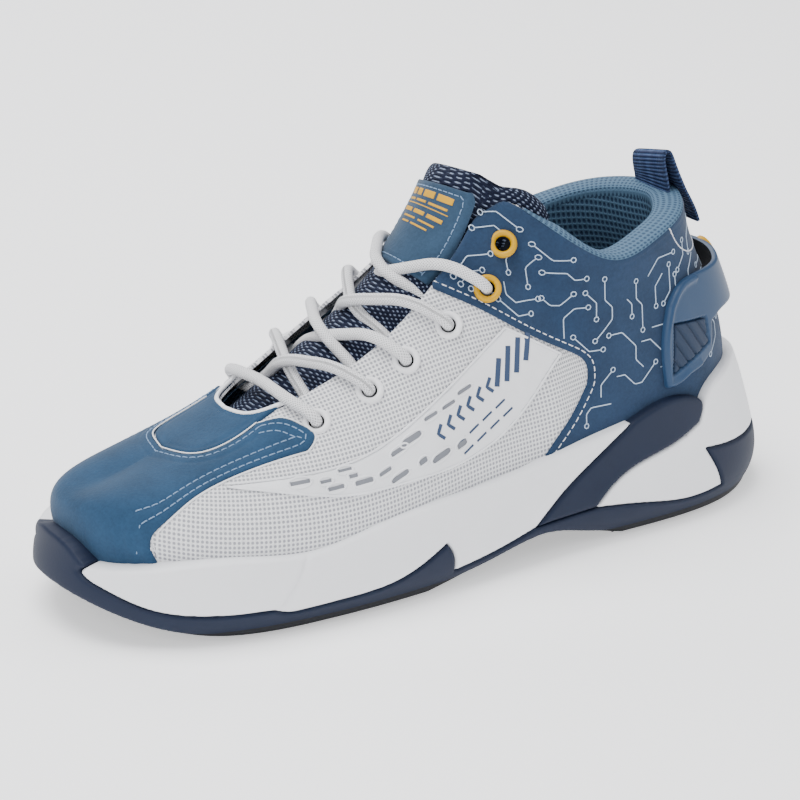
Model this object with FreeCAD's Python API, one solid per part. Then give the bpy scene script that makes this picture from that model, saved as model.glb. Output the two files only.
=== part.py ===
"""Basketball high top, left foot, as separate pieces in one frame.

Millimetres.  The origin is on the ground under the middle of the shoe.  +X runs to the
heel, -X to the toe, -Y is the outer (lateral) side, +Y the inner (medial) side, +Z is up.

The upper is described by one smooth family of surfaces.  STATION rows run round the foot
from the toe along each side to the heel; at each one a cubic profile climbs from the
feather line (where the upper meets the sole) to the ridge of the instep or to the collar.
Every layer of the upper is a slice of that family between two depths: depth 0 is the
outer face of the mesh, positive depths lie outside it and negative depths inside.
"""
import FreeCAD, Part
import math
import os
from FreeCAD import Vector

os.makedirs("parts", exist_ok=True)

# ---------------------------------------------------------------- driving dimensions
GAP = 0.15                      # clearance between neighbouring layers
MESH = (-1.2, 0.0)              # depths (inner, outer) of the woven mesh
OVERLAY = (GAP, 1.35)           # suede and printed overlays on the mesh
FILM = (0.1, 0.7)               # moulded side film on the mesh
STIFFENER = (-2.2, -1.35)       # toe puff and heel counter behind the mesh
LINING = (-3.4, -2.4)           # textile lining
COLLAR_PAD = (-9.4, -1.35)      # foam of the padded collar
COLLAR_SKIN = (-10.4, -9.55)    # lining over the foam
SOLE_CLEARANCE = 1.5            # the sole starts this far outside the mesh
COLLAR_PAD_HEIGHT = 38.0        # how far the foam reaches below the collar edge

STROBEL_THICKNESS = 1.2
INSOLE_THICKNESS = 4.0
SHANK_THICKNESS = 1.5
SHANK_HALF_WIDTH = 14.0
TREAD_THICKNESS = 2.0
TREAD_INSET = 6.0

EYELET_RADIUS = 5.0
EYELET_BARREL_RADIUS = 3.4
EYELET_HOLE_RADIUS = 2.6
EYELET_FLANGE = 1.1
EYELET_DEPTH = 2.6
LACE_DIAMETER = 4.6

TONGUE_THICKNESS = 6.0
TONGUE_FLEX_X, TONGUE_FLEX_Z = -6.8, 108.7
TONGUE_FLEX_ANGLE = 25.0

CLIP_THICKNESS = 2.4
CLIP_STAND_OFF = 6.3
CLIP_SEAT = SOLE_CLEARANCE + 0.05
WEBBING_WIDTH = 21.0
WEBBING_THICKNESS = 1.5

# ---------------------------------------------------------------- stations of the last
# angle of the outward direction from the toe axis; base x, y; top x, y, z; then the
# profile's handles: rise and bulge at the base, reach and drop at the top
LATERAL = [
    (0, -143, 0, -114, 0, 52, 18, 3, 22, 0),
    (30, -138, -20, -106, 0, 55, 21, 4, 25, 0),
    (58, -120, -38, -95, 0, 59, 23, 5, 26, 0),
    (78, -95, -48, -79, 0, 65.5, 24, 5, 28, 0),
    (88, -65, -52, -60, 0, 76, 25, 5, 30, 0),
    (94, -35, -50.5, -38, 0, 90, 26, 4, 30, 0),
    (96, -8, -46.5, -18, 0, 106, 28, 3, 30, 0),
    (95, 16, -43, -2, 0, 124, 34, 1, 27, 0),
    (92, 36, -41, 10, 0, 138, 40, 0, 24, 0),
    (90, 50, -40, 30, -27, 127, 36, 0, 6, 18),
    (90, 63, -39.5, 46, -37, 114, 33, 1, 2, 22),
    (92, 78, -39, 62, -38, 107, 30, 1, 0, 25),
    (104, 98, -36, 81, -34, 110.5, 30, 2, 0, 25),
    (126, 115, -26.5, 97, -26, 114.5, 32, 3, 2, 26),
    (154, 127.5, -13, 107, -13, 116.5, 34, 3, 3, 27),
    (180, 131, 0, 111, 0, 117, 34, 3, 4, 27),
]
MEDIAL = [
    (0, -143, 0, -114, 0, 52, 18, 3, 22, 0),
    (28, -139.5, 17, -106, 0, 55, 17, 3, 22, 0),
    (55, -123, 32, -95, 0, 59, 17, 3, 21, 0),
    (76, -98, 42, -79, 0, 65.5, 18, 3, 21, 0),
    (90, -70, 46, -60, 0, 76, 20, 3, 24, 0),
    (96, -40, 43, -38, 0, 90, 26, 4, 30, 0),
    (97, -12, 37, -18, 0, 106, 28, 3, 30, 0),
    (92, 14, 33, -2, 0, 124, 34, 1, 27, 0),
    (88, 36, 33.5, 10, 0, 138, 40, 0, 24, 0),
    (88, 50, 34.5, 30, 27, 127, 36, 0, 6, 18),
    (88, 63, 35, 46, 37, 114, 33, 1, 2, 22),
    (92, 78, 35.5, 62, 38, 107, 30, 1, 0, 25),
    (104, 98, 34, 81, 34, 110.5, 30, 2, 0, 25),
    (126, 115, 26, 97, 26, 114.5, 32, 3, 2, 26),
    (154, 127.5, 12, 107, 13, 116.5, 34, 3, 3, 27),
    (180, 131, 0, 111, 0, 117, 34, 3, 4, 27),
]
HEEL = len(LATERAL) - 1         # station number of the back of the heel
LOOP = 2 * HEEL                 # stations in the whole loop; the inner side counts down
RIDGE_END = 8                   # last station whose top lies on the instep's ridge

# ---------------------------------------------------------------- sole outlines
SOLE_LATERAL = [(-150, 0), (-146, -20), (-131, -39), (-106, -51), (-76, -55.4), (-46, -55.4),
                (-14, -52.5), (20, -48), (50, -46), (85, -45), (110, -41), (131, -31),
                (145, -15), (149.5, 0)]
SOLE_MEDIAL = [(145, 15), (130, 29), (110, 38), (85, 40), (50, 38), (20, 37), (-14, 41),
               (-48, 49.5), (-80, 53.8), (-110, 48.6), (-135, 35), (-147, 17)]
# height, inset of the side walls and inset of the heel's back wall at each level
SOLE_LEVELS = [(-1, 7, 7), (8, 0.5, 2), (26, 0, 3), (50, 1.5, 10), (66, 3, 17)]

# side view of the sole's pieces, as (x, z) runs; a run of two points is straight
GROUND_LINE = [(-152, 17), (-138, 10.5), (-118, 4), (-96, TREAD_THICKNESS),
               (-70, TREAD_THICKNESS)]
GROUND_FLAT = [(-70, TREAD_THICKNESS), (-28, TREAD_THICKNESS)]
ARCH_LINE = [(-28, TREAD_THICKNESS), (0, 7), (28, 11), (44, 7), (62, TREAD_THICKNESS)]
HEEL_FLAT = [(62, TREAD_THICKNESS), (112, TREAD_THICKNESS)]
HEEL_BEVEL = [(112, TREAD_THICKNESS), (134, 4), (152, 11)]
FOREFOOT_LOW_FRONT = [(-146, 22), (-134, 15.5), (-116, 12), (-92, 11)]
FOREFOOT_NOTCH = [(-92, 11), (-86, 9), (-79, 9)]
FOREFOOT_LOW_BACK = [(-79, 9), (-60, 9.5), (-44, 11), (-21, 20)]
SPIKE = [(-21, 20), (-18.5, 16), (-17, 8)]
FOREFOOT_ARCH = [(-17, 8), (0, 10.5), (20, 15)]
WING_FRONT = [(20, 15), (32, 24), (48, 34), (66, 45.5)]
FOREFOOT_TOP = [(66, 45.5), (40, 41), (15, 37), (-20, 35.5), (-50, 33), (-77, 29),
                (-106, 31), (-134, 29), (-146, 27)]
TOE_EDGE = [(-146, 27), (-147.5, 24.5), (-146, 22)]
STRIPE_TOP = [(66, 45.5), (78, 49.5), (92, 49.5), (100, 45), (98, 38)]
STRIPE_LOW = [(98, 38), (86, 33), (70, 29), (58, 24), (48, 16)]
STRIPE_FOOT = [(48, 16), (20, 15)]
HEEL_LOW = [(48, 16), (70, 13), (92, 9.5), (110, 10)]
HEEL_STEP = [(110, 10), (107, 17), (101, 27)]
HEEL_WRAP = [(101, 27), (120, 24.5), (152, 22)]
HEEL_TOP = [(132, 52), (114, 52.5), (104, 49), (98, 38)]
TOE_BUMPER_TOP = [(-152, 35.5), (-147, 35), (-142, 32)]

# ---------------------------------------------------------------- outlines on the upper
# plan view (x, y) of the toe cap's back edge on the outer side, from sole to vamp
TOE_CAP_SIDE = [(-132, -31), (-124, -34), (-111, -33), (-83, -34), (-68, -37)]
TOE_CAP_TIP = [(-68, -37), (-63.5, -34.5), (-66, -28.5)]
TOE_CAP_THROAT = [(-66, -28.5), (-70, -22), (-77, -18)]
VAMP_PANEL = [(-77, -18), (-90, -18.5), (-100, -15), (-104.5, -6), (-105.5, 0)]
# plan view of the throat, from the collar to its round front end
THROAT_SIDE = [(34, -21), (12, -22), (-20, -22), (-52, -20.5), (-67, -17.5)]
THROAT_FRONT = [(-67, -17.5), (-76.5, -11), (-79.5, 0)]
# side view (x, z) of the printed collar panel's lower edge
PANEL_EDGE = [(-7, 103.5), (7, 96), (17, 89.5), (29, 82), (41, 75.5)]
PANEL_CORNER = [(41, 75.5), (48, 70), (48.5, 62)]
PANEL_BACK = [(48.5, 62), (42, 52), (33, 43), (18, 28)]
# side view of the moulded film
FILM_TOP = [(16.5, 88.2), (28, 81.3), (38.5, 75.2)]
FILM_BACK = [(38.5, 75.2), (31, 68), (14, 54), (-13, 45.5), (-38, 44.5), (-60, 45), (-80, 48.5)]
FILM_TIP = [(-80, 48.5), (-99, 52)]
FILM_FRONT = [(-99, 52), (-74, 53), (-50, 55.5), (-20, 67), (16.5, 88.2)]
# side view of the heel clip's ribbed insert
INSERT = [(86, 78), (104, 76), (105.5, 66), (85, 58.5)]
# (station, height along the profile) of the six eyelets of a side, from the toe up
EYELETS = [(4.06, 0.63), (4.87, 0.61), (5.52, 0.61), (6.37, 0.59), (7.32, 0.55), (8.18, 0.63)]
WHITE_EYELETS = 4
# (station, low, high) of the heel clip's band along the profile
CLIP_BAND = [(11.35, 0.19, 0.6), (11.7, 0.2, 0.66), (12.1, 0.22, 0.71), (12.6, 0.25, 0.73),
             (13.1, 0.33, 0.725), (13.7, 0.41, 0.7), (14.4, 0.45, 0.68), (15, 0.455, 0.67)]
# the instep under the laces: x, z, half width and sag of the tongue's outer face
TONGUE = [(-76, 60.6, 20, 6), (-58, 71, 24, 8.7), (-38, 84.2, 25, 9.8), (-19, 99.5, 22, 8.5),
          (-6, 114, 20, 7), (4, 128, 20, 6.5), (11, 142, 19, 6)]


# ---------------------------------------------------------------- small helpers
def vector(x, y, z=0.0):
    return Vector(float(x), float(y), float(z))


def unit(v):
    return v * (1.0 / v.Length)


def smoothstep(value):
    value = min(max(value, 0.0), 1.0)
    return value * value * (3 - 2 * value)


def feather_height(x):
    """Height of the line where the upper meets the sole: toe spring, ball, heel lift."""
    if x < -62:
        return 24 + 12 * ((-62 - x) / 88.0) ** 2
    return 24 + 16 * smoothstep((x + 62) / 170.0)


def save(name, shape):
    solids = shape.Solids
    if len(solids) == 1:
        shape = solids[0]
    elif not solids:
        raise ValueError(name + " has no solid")
    if not shape.isValid():
        print("not valid:", name)
    shape.exportStep("parts/" + name + ".step")
    box = shape.BoundBox
    print("%-24s %2d solids %10.1f mm3  x %7.1f %7.1f  y %6.1f %6.1f  z %6.1f %6.1f" % (
        name, len(solids), shape.Volume, box.XMin, box.XMax, box.YMin, box.YMax,
        box.ZMin, box.ZMax))


def solid_from(faces, tolerance=0.01):
    shell = Part.makeShell(faces)
    shell.sewShape(tolerance)
    if shell.ShapeType != "Shell":
        shell = shell.Shells[0]
    solid = Part.makeSolid(shell)
    if solid.Volume < 0:
        solid.reverse()
    return solid


def curve_edge(points):
    if len(points) == 2:
        return Part.LineSegment(points[0], points[1]).toShape()
    curve = Part.BSplineCurve()
    curve.interpolate(points)
    return curve.toShape()


def outline_prism(runs, plane, low, high):
    """Closed outline of joined runs, in side view ("side") or plan ("plan"), as a prism."""
    edges = []
    first = runs[0][0]
    last = runs[-1][-1]
    if math.hypot(first[0] - last[0], first[1] - last[1]) > 1e-6:
        runs = list(runs) + [[last, first]]
    for run in runs:
        if plane == "side":
            edges.append(curve_edge([vector(a, low, b) for a, b in run]))
        else:
            edges.append(curve_edge([vector(a, b, low) for a, b in run]))
    face = Part.Face(Part.Wire(edges))
    span = high - low
    return face.extrude(vector(0, span) if plane == "side" else vector(0, 0, span))


def mirrored(run, factor=-1.0):
    return [(x, y * factor) for x, y in reversed(run)]


def box(low, high):
    return Part.makeBox(high[0] - low[0], high[1] - low[1], high[2] - low[2], vector(*low))


# ---------------------------------------------------------------- the last's surfaces
def station_row(index):
    index = index % LOOP
    return (LATERAL[index], -1) if index <= HEEL else (MEDIAL[LOOP - index], 1)


def on_ridge(index):
    index = index % LOOP
    return index <= RIDGE_END or index >= LOOP - RIDGE_END


def ridge_slope(row_number):
    before = LATERAL[max(row_number - 1, 0)]
    after = LATERAL[min(row_number + 1, RIDGE_END)]
    return (after[5] - before[5]) / float(after[3] - before[3])


def station_handles(index):
    """The four control points of one station's profile, at depth 0."""
    row, side = station_row(index)
    angle, base_x, base_y, top_x, top_y, top_z, rise, bulge, reach, drop = row
    out = vector(-math.cos(math.radians(angle)), side * math.sin(math.radians(angle)))
    base = vector(base_x, base_y, feather_height(base_x))
    top = vector(top_x, top_y, top_z)
    climb = 0.0
    if on_ridge(index):
        number = index % LOOP
        climb = ridge_slope(min(number, LOOP - number)) * out.x * reach
    return [base, base + out * bulge + vector(0, 0, rise),
            top + out * reach + vector(0, 0, climb - drop), top]


def outward(a, b, out):
    normal = unit(a.cross(b))
    return normal if normal.dot(out) > 0 else normal * -1.0


def station_normals(index, handles):
    """How far each control point moves for one millimetre of depth."""
    row, side = station_row(index)
    out = vector(-math.cos(math.radians(row[0])), side * math.sin(math.radians(row[0])), 0.5)
    here = handles[index % LOOP]
    after, before = handles[(index + 1) % LOOP], handles[(index - 1) % LOOP]
    low = outward(after[0] - before[0], here[1] - here[0], out)
    middle = outward(after[1] - before[1] + after[2] - before[2], here[2] - here[1], out)
    if on_ridge(index):
        number = index % LOOP
        top = unit(vector(-ridge_slope(min(number, LOOP - number)), 0, 1))
    else:
        top = outward(after[3] - before[3], here[3] - here[2], out)
    return [low, (low + middle) * (1 / (1 + low.dot(middle))),
            (middle + top) * (1 / (1 + middle.dot(top))), top]


def loop_tangents(points, top_track):
    """Tangents of the smooth closed curve through the points.  The top track keeps its
    ridge in the middle plane, alike on both sides."""
    count = len(points)
    chord = [points[(i + 1) % count] - points[i - 1] for i in range(count)]
    tangents = [c * 0.5 for c in chord]
    ends = {RIDGE_END: points[RIDGE_END] - points[RIDGE_END - 1],
            LOOP - RIDGE_END: points[LOOP - RIDGE_END + 1] - points[LOOP - RIDGE_END]}
    for _ in range(40):
        for i in range(count):
            tangents[i] = (chord[i] * 3 - tangents[i - 1] - tangents[(i + 1) % count]) * 0.25
            if top_track and i in ends:
                tangents[i] = ends[i]
            if top_track and on_ridge(i):
                tangents[i].y = 0.0
    return tangents


HANDLES = [station_handles(i) for i in range(LOOP)]
NORMALS = [station_normals(i, HANDLES) for i in range(LOOP)]
HANDLE_TANGENTS = [loop_tangents([h[j] for h in HANDLES], j == 3) for j in range(4)]
NORMAL_TANGENTS = [loop_tangents([n[j] for n in NORMALS], j == 3) for j in range(4)]


def track_poles(j, depth, first, last):
    """Poles of the curve that control point j follows from one station to another."""
    poles = []
    for i in range(first, last + 1):
        k = i % LOOP
        point = HANDLES[k][j] + NORMALS[k][j] * depth
        third = (HANDLE_TANGENTS[j][k] + NORMAL_TANGENTS[j][k] * depth) * (1 / 3.0)
        if i > first:
            poles.append(point - third)
        if i in (first, last):
            poles.append(point)
        if i < last:
            poles.append(point + third)
    return poles


def track_surface(rows, degree, first, last):
    """Face whose poles are rows of track poles, of the given degree across the rows."""
    spans = last - first
    poles = [[row[i] for row in rows] for i in range(len(rows[0]))]
    surface = Part.BSplineSurface()
    surface.buildFromPolesMultsKnots(
        poles, [4] + [2] * (spans - 1) + [4], [degree + 1, degree + 1],
        [float(k) for k in range(spans + 1)], [0.0, 1.0], False, False, 3, degree)
    return surface.toShape()


def profile_face(station, depth_a, depth_b):
    """The end face of a layer, across its thickness, at one station."""
    k = station % LOOP
    columns = [[HANDLES[k][j] + NORMALS[k][j] * d for d in (depth_a, depth_b)]
               for j in range(4)]
    surface = Part.BSplineSurface()
    surface.buildFromPolesMultsKnots(columns, [4, 4], [2, 2], [0.0, 1.0], [0.0, 1.0],
                                     False, False, 3, 1)
    return surface.toShape()


WHOLE = (0, RIDGE_END, LOOP - RIDGE_END, LOOP)
OUTER_SIDE = (0, RIDGE_END, HEEL)
INNER_SIDE = (HEEL, LOOP - RIDGE_END, LOOP)
REAR = (RIDGE_END, LOOP - RIDGE_END)


def spans(stations):
    return list(zip(stations, stations[1:]))


def has_ridge(first, last):
    return last <= RIDGE_END or first >= LOOP - RIDGE_END


def layer(depths, stations=WHOLE):
    """Solid between two depths, round the whole upper or one stretch of stations."""
    inner, outer = depths
    faces = []
    for first, last in spans(stations):
        for depth in depths:
            rows = [track_poles(j, depth, first, last) for j in range(4)]
            faces.append(track_surface(rows, 3, first, last))
        closed_by_other_side = stations == WHOLE and has_ridge(first, last)
        for j in [0] if closed_by_other_side else [0, 3]:
            rows = [track_poles(j, depth, first, last) for depth in depths]
            faces.append(track_surface(rows, 1, first, last))
    if stations != WHOLE:
        faces += [profile_face(stations[0], inner, outer),
                  profile_face(stations[-1], inner, outer)]
    return solid_from(faces)


def upper_point(station, height, depth=0.0):
    """Point of the family: station along the loop, height 0 to 1 along the profile."""
    k = int(math.floor(station)) % LOOP
    f = station - math.floor(station)
    n = (k + 1) % LOOP
    blend = [(1 + 2 * f) * (1 - f) ** 2, f * (1 - f) ** 2, f * f * (3 - 2 * f), f * f * (f - 1)]
    bezier = [(1 - height) ** 3, 3 * height * (1 - height) ** 2,
              3 * height ** 2 * (1 - height), height ** 3]
    point = vector(0, 0, 0)
    for j in range(4):
        here = (HANDLES[k][j] + NORMALS[k][j] * depth) * blend[0]
        here += (HANDLE_TANGENTS[j][k] + NORMAL_TANGENTS[j][k] * depth) * blend[1]
        here += (HANDLES[n][j] + NORMALS[n][j] * depth) * blend[2]
        here += (HANDLE_TANGENTS[j][n] + NORMAL_TANGENTS[j][n] * depth) * blend[3]
        point += here * bezier[j]
    return point


def upper_normal(station, height):
    return unit(upper_point(station, height, 2.0) - upper_point(station, height, 0.0))


def foot_space(depth):
    """Everything inside one depth of the upper, from below the ground to far above."""
    bottom, top = -12.0, 220.0
    faces, low_edges, high_edges = [], [], []
    for first, last in spans(WHOLE):
        rows = [track_poles(j, depth, first, last) for j in range(4)]
        faces.append(track_surface(rows, 3, first, last))
        floor = [vector(p.x, p.y, bottom) for p in rows[0]]
        skirt = track_surface([floor, rows[0]], 1, first, last)
        faces.append(skirt)
        low_edges.append(skirt.Surface.vIso(0).toShape())
        if not has_ridge(first, last):
            ceiling = [vector(p.x, p.y, top) for p in rows[3]]
            skirt = track_surface([rows[3], ceiling], 1, first, last)
            faces.append(skirt)
            high_edges.append(skirt.Surface.vIso(1).toShape())
    faces.append(Part.Face(Part.Wire(Part.__sortEdges__(low_edges))))
    faces.append(Part.Face(Part.Wire(high_edges)))
    return solid_from(faces)


def grid_solid(outer, inner):
    """Solid between two grids of points, both smooth surfaces."""
    faces = []
    for grid in (outer, inner):
        surface = Part.BSplineSurface()
        surface.interpolate(grid)
        faces.append(surface)
    shapes = [f.toShape() for f in faces]
    for direction, value in (("u", 0.0), ("u", 1.0), ("v", 0.0), ("v", 1.0)):
        edges = []
        for f in faces:
            low_u, high_u, low_v, high_v = f.bounds()
            low, high = (low_u, high_u) if direction == "u" else (low_v, high_v)
            iso = f.uIso if direction == "u" else f.vIso
            edges.append(iso(low + (high - low) * value).toShape())
        shapes.append(Part.makeRuledSurface(edges[0], edges[1]))
    return solid_from(shapes)


# ---------------------------------------------------------------- cutters
def throat_prism():
    return outline_prism([THROAT_SIDE, THROAT_FRONT, mirrored(THROAT_FRONT),
                          mirrored(THROAT_SIDE)], "plan", 45, 170)


def eyelet_places():
    """(station, height, depth of the face under the flange) of all twelve eyelets."""
    places = []
    for number, (station, height) in enumerate(EYELETS):
        seat = 0.1 if number < WHITE_EYELETS else OVERLAY[1] + 0.1
        places += [(station, height, seat), (LOOP - station, height, seat)]
    return places


def along(shape, point, direction):
    """Shape built on +Z at the origin, moved to a point and turned along a direction."""
    turned = shape.copy()
    turned.Placement = FreeCAD.Placement(point, FreeCAD.Rotation(vector(0, 0, 1), direction))
    return turned


def eyelet_holes(radius):
    length = 14.0
    holes = []
    for station, height, _ in eyelet_places():
        direction = upper_normal(station, height)
        start = upper_point(station, height) - direction * (length / 2)
        holes.append(along(Part.makeCylinder(radius, length), start, direction))
    return Part.makeCompound(holes)


def collar_zone():
    """Side view of the padded collar, foam and all."""
    low_edge = [(34, 97), (46, 80), (62, 107 - COLLAR_PAD_HEIGHT), (90, 74), (118, 80),
                (150, 82)]
    return outline_prism([[(34, 160), (34, 97)], low_edge, [(150, 82), (150, 160)]],
                         "side", -80, 80)


# ---------------------------------------------------------------- upper
def make_upper():
    throat = throat_prism()
    holes = eyelet_holes(EYELET_BARREL_RADIUS + 0.1)
    padded = collar_zone()
    cap_side = [[(-170, -31), (-132, -31)], TOE_CAP_SIDE, TOE_CAP_TIP, TOE_CAP_THROAT,
                VAMP_PANEL]
    cap = outline_prism(cap_side + [mirrored(run) for run in reversed(cap_side)],
                        "plan", 0, 120)
    save("toe_cap", layer(OVERLAY).common(cap).cut(throat).cut(
        eyelet_holes(EYELET_RADIUS + 0.2)))

    for side, stations in (("lateral", OUTER_SIDE), ("medial", INNER_SIDE)):
        mesh = layer(MESH, stations).cut(throat).cut(holes)
        save("quarter_mesh_" + side, mesh)
        panel_outline = [PANEL_EDGE, PANEL_CORNER, PANEL_BACK,
                         [(18, 28), (18, 10)], [(18, 10), (160, 10)], [(160, 10), (160, 160)],
                         [(160, 160), (-7, 160)]]
        panel = outline_prism(panel_outline, "side", -80, 80)
        save("collar_panel_" + side,
             layer(OVERLAY, stations).common(panel).cut(throat).cut(holes))
        film = outline_prism([FILM_TOP, FILM_BACK, FILM_TIP, FILM_FRONT], "side", -80, 80)
        save("side_film_" + side, layer(FILM, stations).common(film).cut(cap))

    vamp_side = [(x + 0.6, y * 0.965) for x, y in VAMP_PANEL]
    vamp = outline_prism([[(-67, -17.37), vamp_side[0]], vamp_side, mirrored(vamp_side),
                          [(vamp_side[0][0], -vamp_side[0][1]), (-67, 17.37)]],
                         "plan", 30, 120)
    save("vamp_panel", layer(OVERLAY).common(vamp).cut(throat))
    save("toe_puff", layer(STIFFENER).common(box((-170, -80, 0), (-107, 80, 120))))
    counter = outline_prism([[(72, 20), (74, 52)], [(74, 52), (84, 66), (104, 72), (150, 72)],
                             [(150, 72), (150, 20)]], "side", -80, 80)
    save("heel_counter", layer(STIFFENER, REAR).common(counter))
    save("lining", layer(LINING).cut(throat).cut(holes).cut(padded))
    save("collar_foam", layer(COLLAR_PAD, REAR).common(padded))
    save("collar_lining", layer(COLLAR_SKIN, REAR).common(padded))


def make_eyelets():
    groups = {"eyelets_white": [], "eyelets_yellow": []}
    seats = {}
    for station, height, seat in eyelet_places():
        stations = OUTER_SIDE if station < HEEL else INNER_SIDE
        if (stations, seat) not in seats:
            seats[stations, seat] = layer((-2.0, seat), stations)
        place = upper_point(station, height), upper_normal(station, height)
        flange = Part.makeCylinder(EYELET_RADIUS, EYELET_FLANGE + 1.2,
                                   vector(0, 0, seat - 1.2))
        flange = flange.makeFillet(0.5, [flange.Edges[0]])
        flange = along(flange, *place).cut(seats[stations, seat])
        barrel = along(Part.makeCylinder(EYELET_BARREL_RADIUS, seat + EYELET_DEPTH + 0.4,
                                         vector(0, 0, -EYELET_DEPTH)), *place)
        bore = along(Part.makeCylinder(EYELET_HOLE_RADIUS, 20, vector(0, 0, -10)), *place)
        name = "eyelets_white" if seat < 1 else "eyelets_yellow"
        ring = flange.fuse(barrel).cut(bore).removeSplitter()
        groups[name].append(max(ring.Solids, key=lambda solid: solid.Volume))
    for name, rings in groups.items():
        save(name, Part.makeCompound(rings))


# ---------------------------------------------------------------- tongue
def tongue_grid(lift, half_widths=1.0):
    """Points of the tongue's outer face, lifted along its normal."""
    grid = []
    for i, (x, z, half_width, sag) in enumerate(TONGUE):
        before, after = TONGUE[max(i - 1, 0)], TONGUE[min(i + 1, len(TONGUE) - 1)]
        along_tongue = unit(vector(after[0] - before[0], 0, after[1] - before[1]))
        normal = vector(-along_tongue.z, 0, along_tongue.x)
        row = []
        for step in range(-4, 5):
            across = step / 4.0 * half_widths
            row.append(vector(x, half_width * across, z) +
                       normal * (lift - sag * across * across))
        grid.append(row)
    return grid


def flex_gap():
    """Bow-tie gap at the tongue's fold, seen from the side."""
    run_x, run_z = 0.667, 0.745
    half_gap, reach = 0.5, 22.0
    spread = half_gap + reach * math.tan(math.radians(TONGUE_FLEX_ANGLE / 2 + 2))

    def at(up, out):
        return (TONGUE_FLEX_X + run_x * up - run_z * out,
                TONGUE_FLEX_Z + run_z * up + run_x * out)

    corners = [at(-half_gap, 0), at(-spread, reach), at(spread, reach), at(half_gap, 0),
               at(spread, -reach), at(-spread, -reach)]
    edges = [[a, b] for a, b in zip(corners, corners[1:] + corners[:1])]
    above = [at(0, reach), at(90, reach), at(90, -reach), at(0, -reach)]
    above_edges = [[a, b] for a, b in zip(above, above[1:] + above[:1])]
    return (outline_prism(edges, "side", -60, 60),
            outline_prism(above_edges, "side", -60, 60))


def make_tongue():
    gap, above = flex_gap()
    pad = grid_solid(tongue_grid(0.0), tongue_grid(-TONGUE_THICKNESS)).cut(gap)
    save("tongue_lower", pad.cut(above))
    upper = pad.common(above)
    for side in (-58, 9):
        upper = upper.cut(box((-25, side, 90), (4, side + 49, 124)))
    save("tongue_upper", upper)
    label = grid_solid(tongue_grid(1.4, 0.95), tongue_grid(GAP, 0.95))
    save("tongue_label", label.common(box((1.5, -60, 60), (60, 60, 134))))


# ---------------------------------------------------------------- lace
def lace_point(station, height, depth, side):
    return upper_point(station if side < 0 else LOOP - station, height, depth)


def lace_route():
    """Points of the lace from one tucked end to the other, hand laid through the eyelets."""
    under, over, bar = -6.2, 3.8, 0.6
    crossings = [4.2, 4.85, 5.4, 6.05]      # ridge stations where the strands cross
    halves = []
    for side, lift in ((-1, -2.6), (1, 2.0)):
        # the strand that leaves this side's lowest eyelet and ends at a top eyelet
        route = []
        station, height = EYELETS[0]
        route += [(3.83, 0.78, over, side), (station, height, over + 0.4, side),
                  (station, height, under, side)]
        for k, crossing in enumerate(crossings):
            station, height = EYELETS[k]
            edge = 0.4
            route.append((station + (crossing - station) * edge,
                          height + (1 - height) * edge, under, side))
            route.append((crossing, 1.0, lift, side))
            side = -side
            station, height = EYELETS[k + 1]
            route.append((station + (crossing - station) * edge,
                          height + (1 - height) * edge, over, side))
            route.append((station, height, over + (0.4 if k < 3 else 2.0), side))
            route.append((station, height, under - (0 if k < 3 else 1), side))
        route += [(7.7, 0.42, -9.5, side), (8.2, 0.3, -10.5, side), (8.7, 0.2, -11.5, side)]
        halves.append([lace_point(*place) for place in route])
    middle = [upper_point(3.75, 1.0, bar)]
    return list(reversed(halves[0])) + middle + halves[1]


def rounded_path(points, name, limit=0.45):
    """Straight runs joined by tangent arcs as large as their runs allow."""
    edges, radii = [], []
    start = points[0]
    for before, here, after in zip(points, points[1:], points[2:]):
        into, out = unit(here - before), unit(after - here)
        turn = into.getAngle(out)
        if turn < 1e-3:
            continue
        shorter = min((here - before).Length, (after - here).Length)
        tangent = limit * shorter
        radii.append(tangent / math.tan(turn / 2))
        first, last = here - into * tangent, here + out * tangent
        to_centre = unit(out - into)
        bow = radii[-1] / math.cos(turn / 2) - radii[-1]
        edges.append(Part.LineSegment(start, first).toShape())
        edges.append(Part.Arc(first, here + to_centre * bow, last).toShape())
        start = last
    edges.append(Part.LineSegment(start, points[-1]).toShape())
    print(name, "radii from %.1f to %.1f mm, length %.0f mm" % (
        min(radii), max(radii), sum(e.Length for e in edges)))
    return Part.Wire(edges)


def make_lace():
    points = lace_route()
    path = rounded_path(points, "lace")
    radius = LACE_DIAMETER / 2
    direction = unit(points[1] - points[0])
    circle = Part.Wire(Part.makeCircle(radius, points[0], direction))
    tube = path.makePipeShell([circle], True, True, 2)
    print("lace volume over section times length: %.4f" % (
        tube.Volume / (math.pi * radius ** 2 * path.Length)))
    save("lace", tube)
    tips = []
    for end, inside in ((points[0], points[1]), (points[-1], points[-2])):
        tips.append(along(Part.makeCylinder(1.7, 18.0), end, unit(end - inside)))
    save("lace_aglets", Part.makeCompound(tips))


# ---------------------------------------------------------------- heel clip and pull tab
def clip_row(station):
    """Low and high edge of the clip's band at a station, by straight interpolation."""
    for (s0, low0, high0), (s1, low1, high1) in zip(CLIP_BAND, CLIP_BAND[1:]):
        if station <= s1 + 1e-9:
            f = (station - s0) / (s1 - s0)
            return low0 + (low1 - low0) * f, high0 + (high1 - high0) * f
    return CLIP_BAND[-1][1:]


def clip_grid(extra):
    first, count = CLIP_BAND[0][0], 25
    grid = []
    for i in range(count):
        place = first + (LOOP - 2 * first) * i / (count - 1)
        station = min(place, LOOP - place)
        low, high = clip_row(station)
        stand_off = CLIP_STAND_OFF * smoothstep((station - 12.3) / 1.9)
        grid.append([upper_point(place, low + (high - low) * j / 6.0,
                                 CLIP_SEAT + stand_off * (0.92 + 0.3 * j / 6.0) + extra)
                     for j in range(7)])
    return grid


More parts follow.
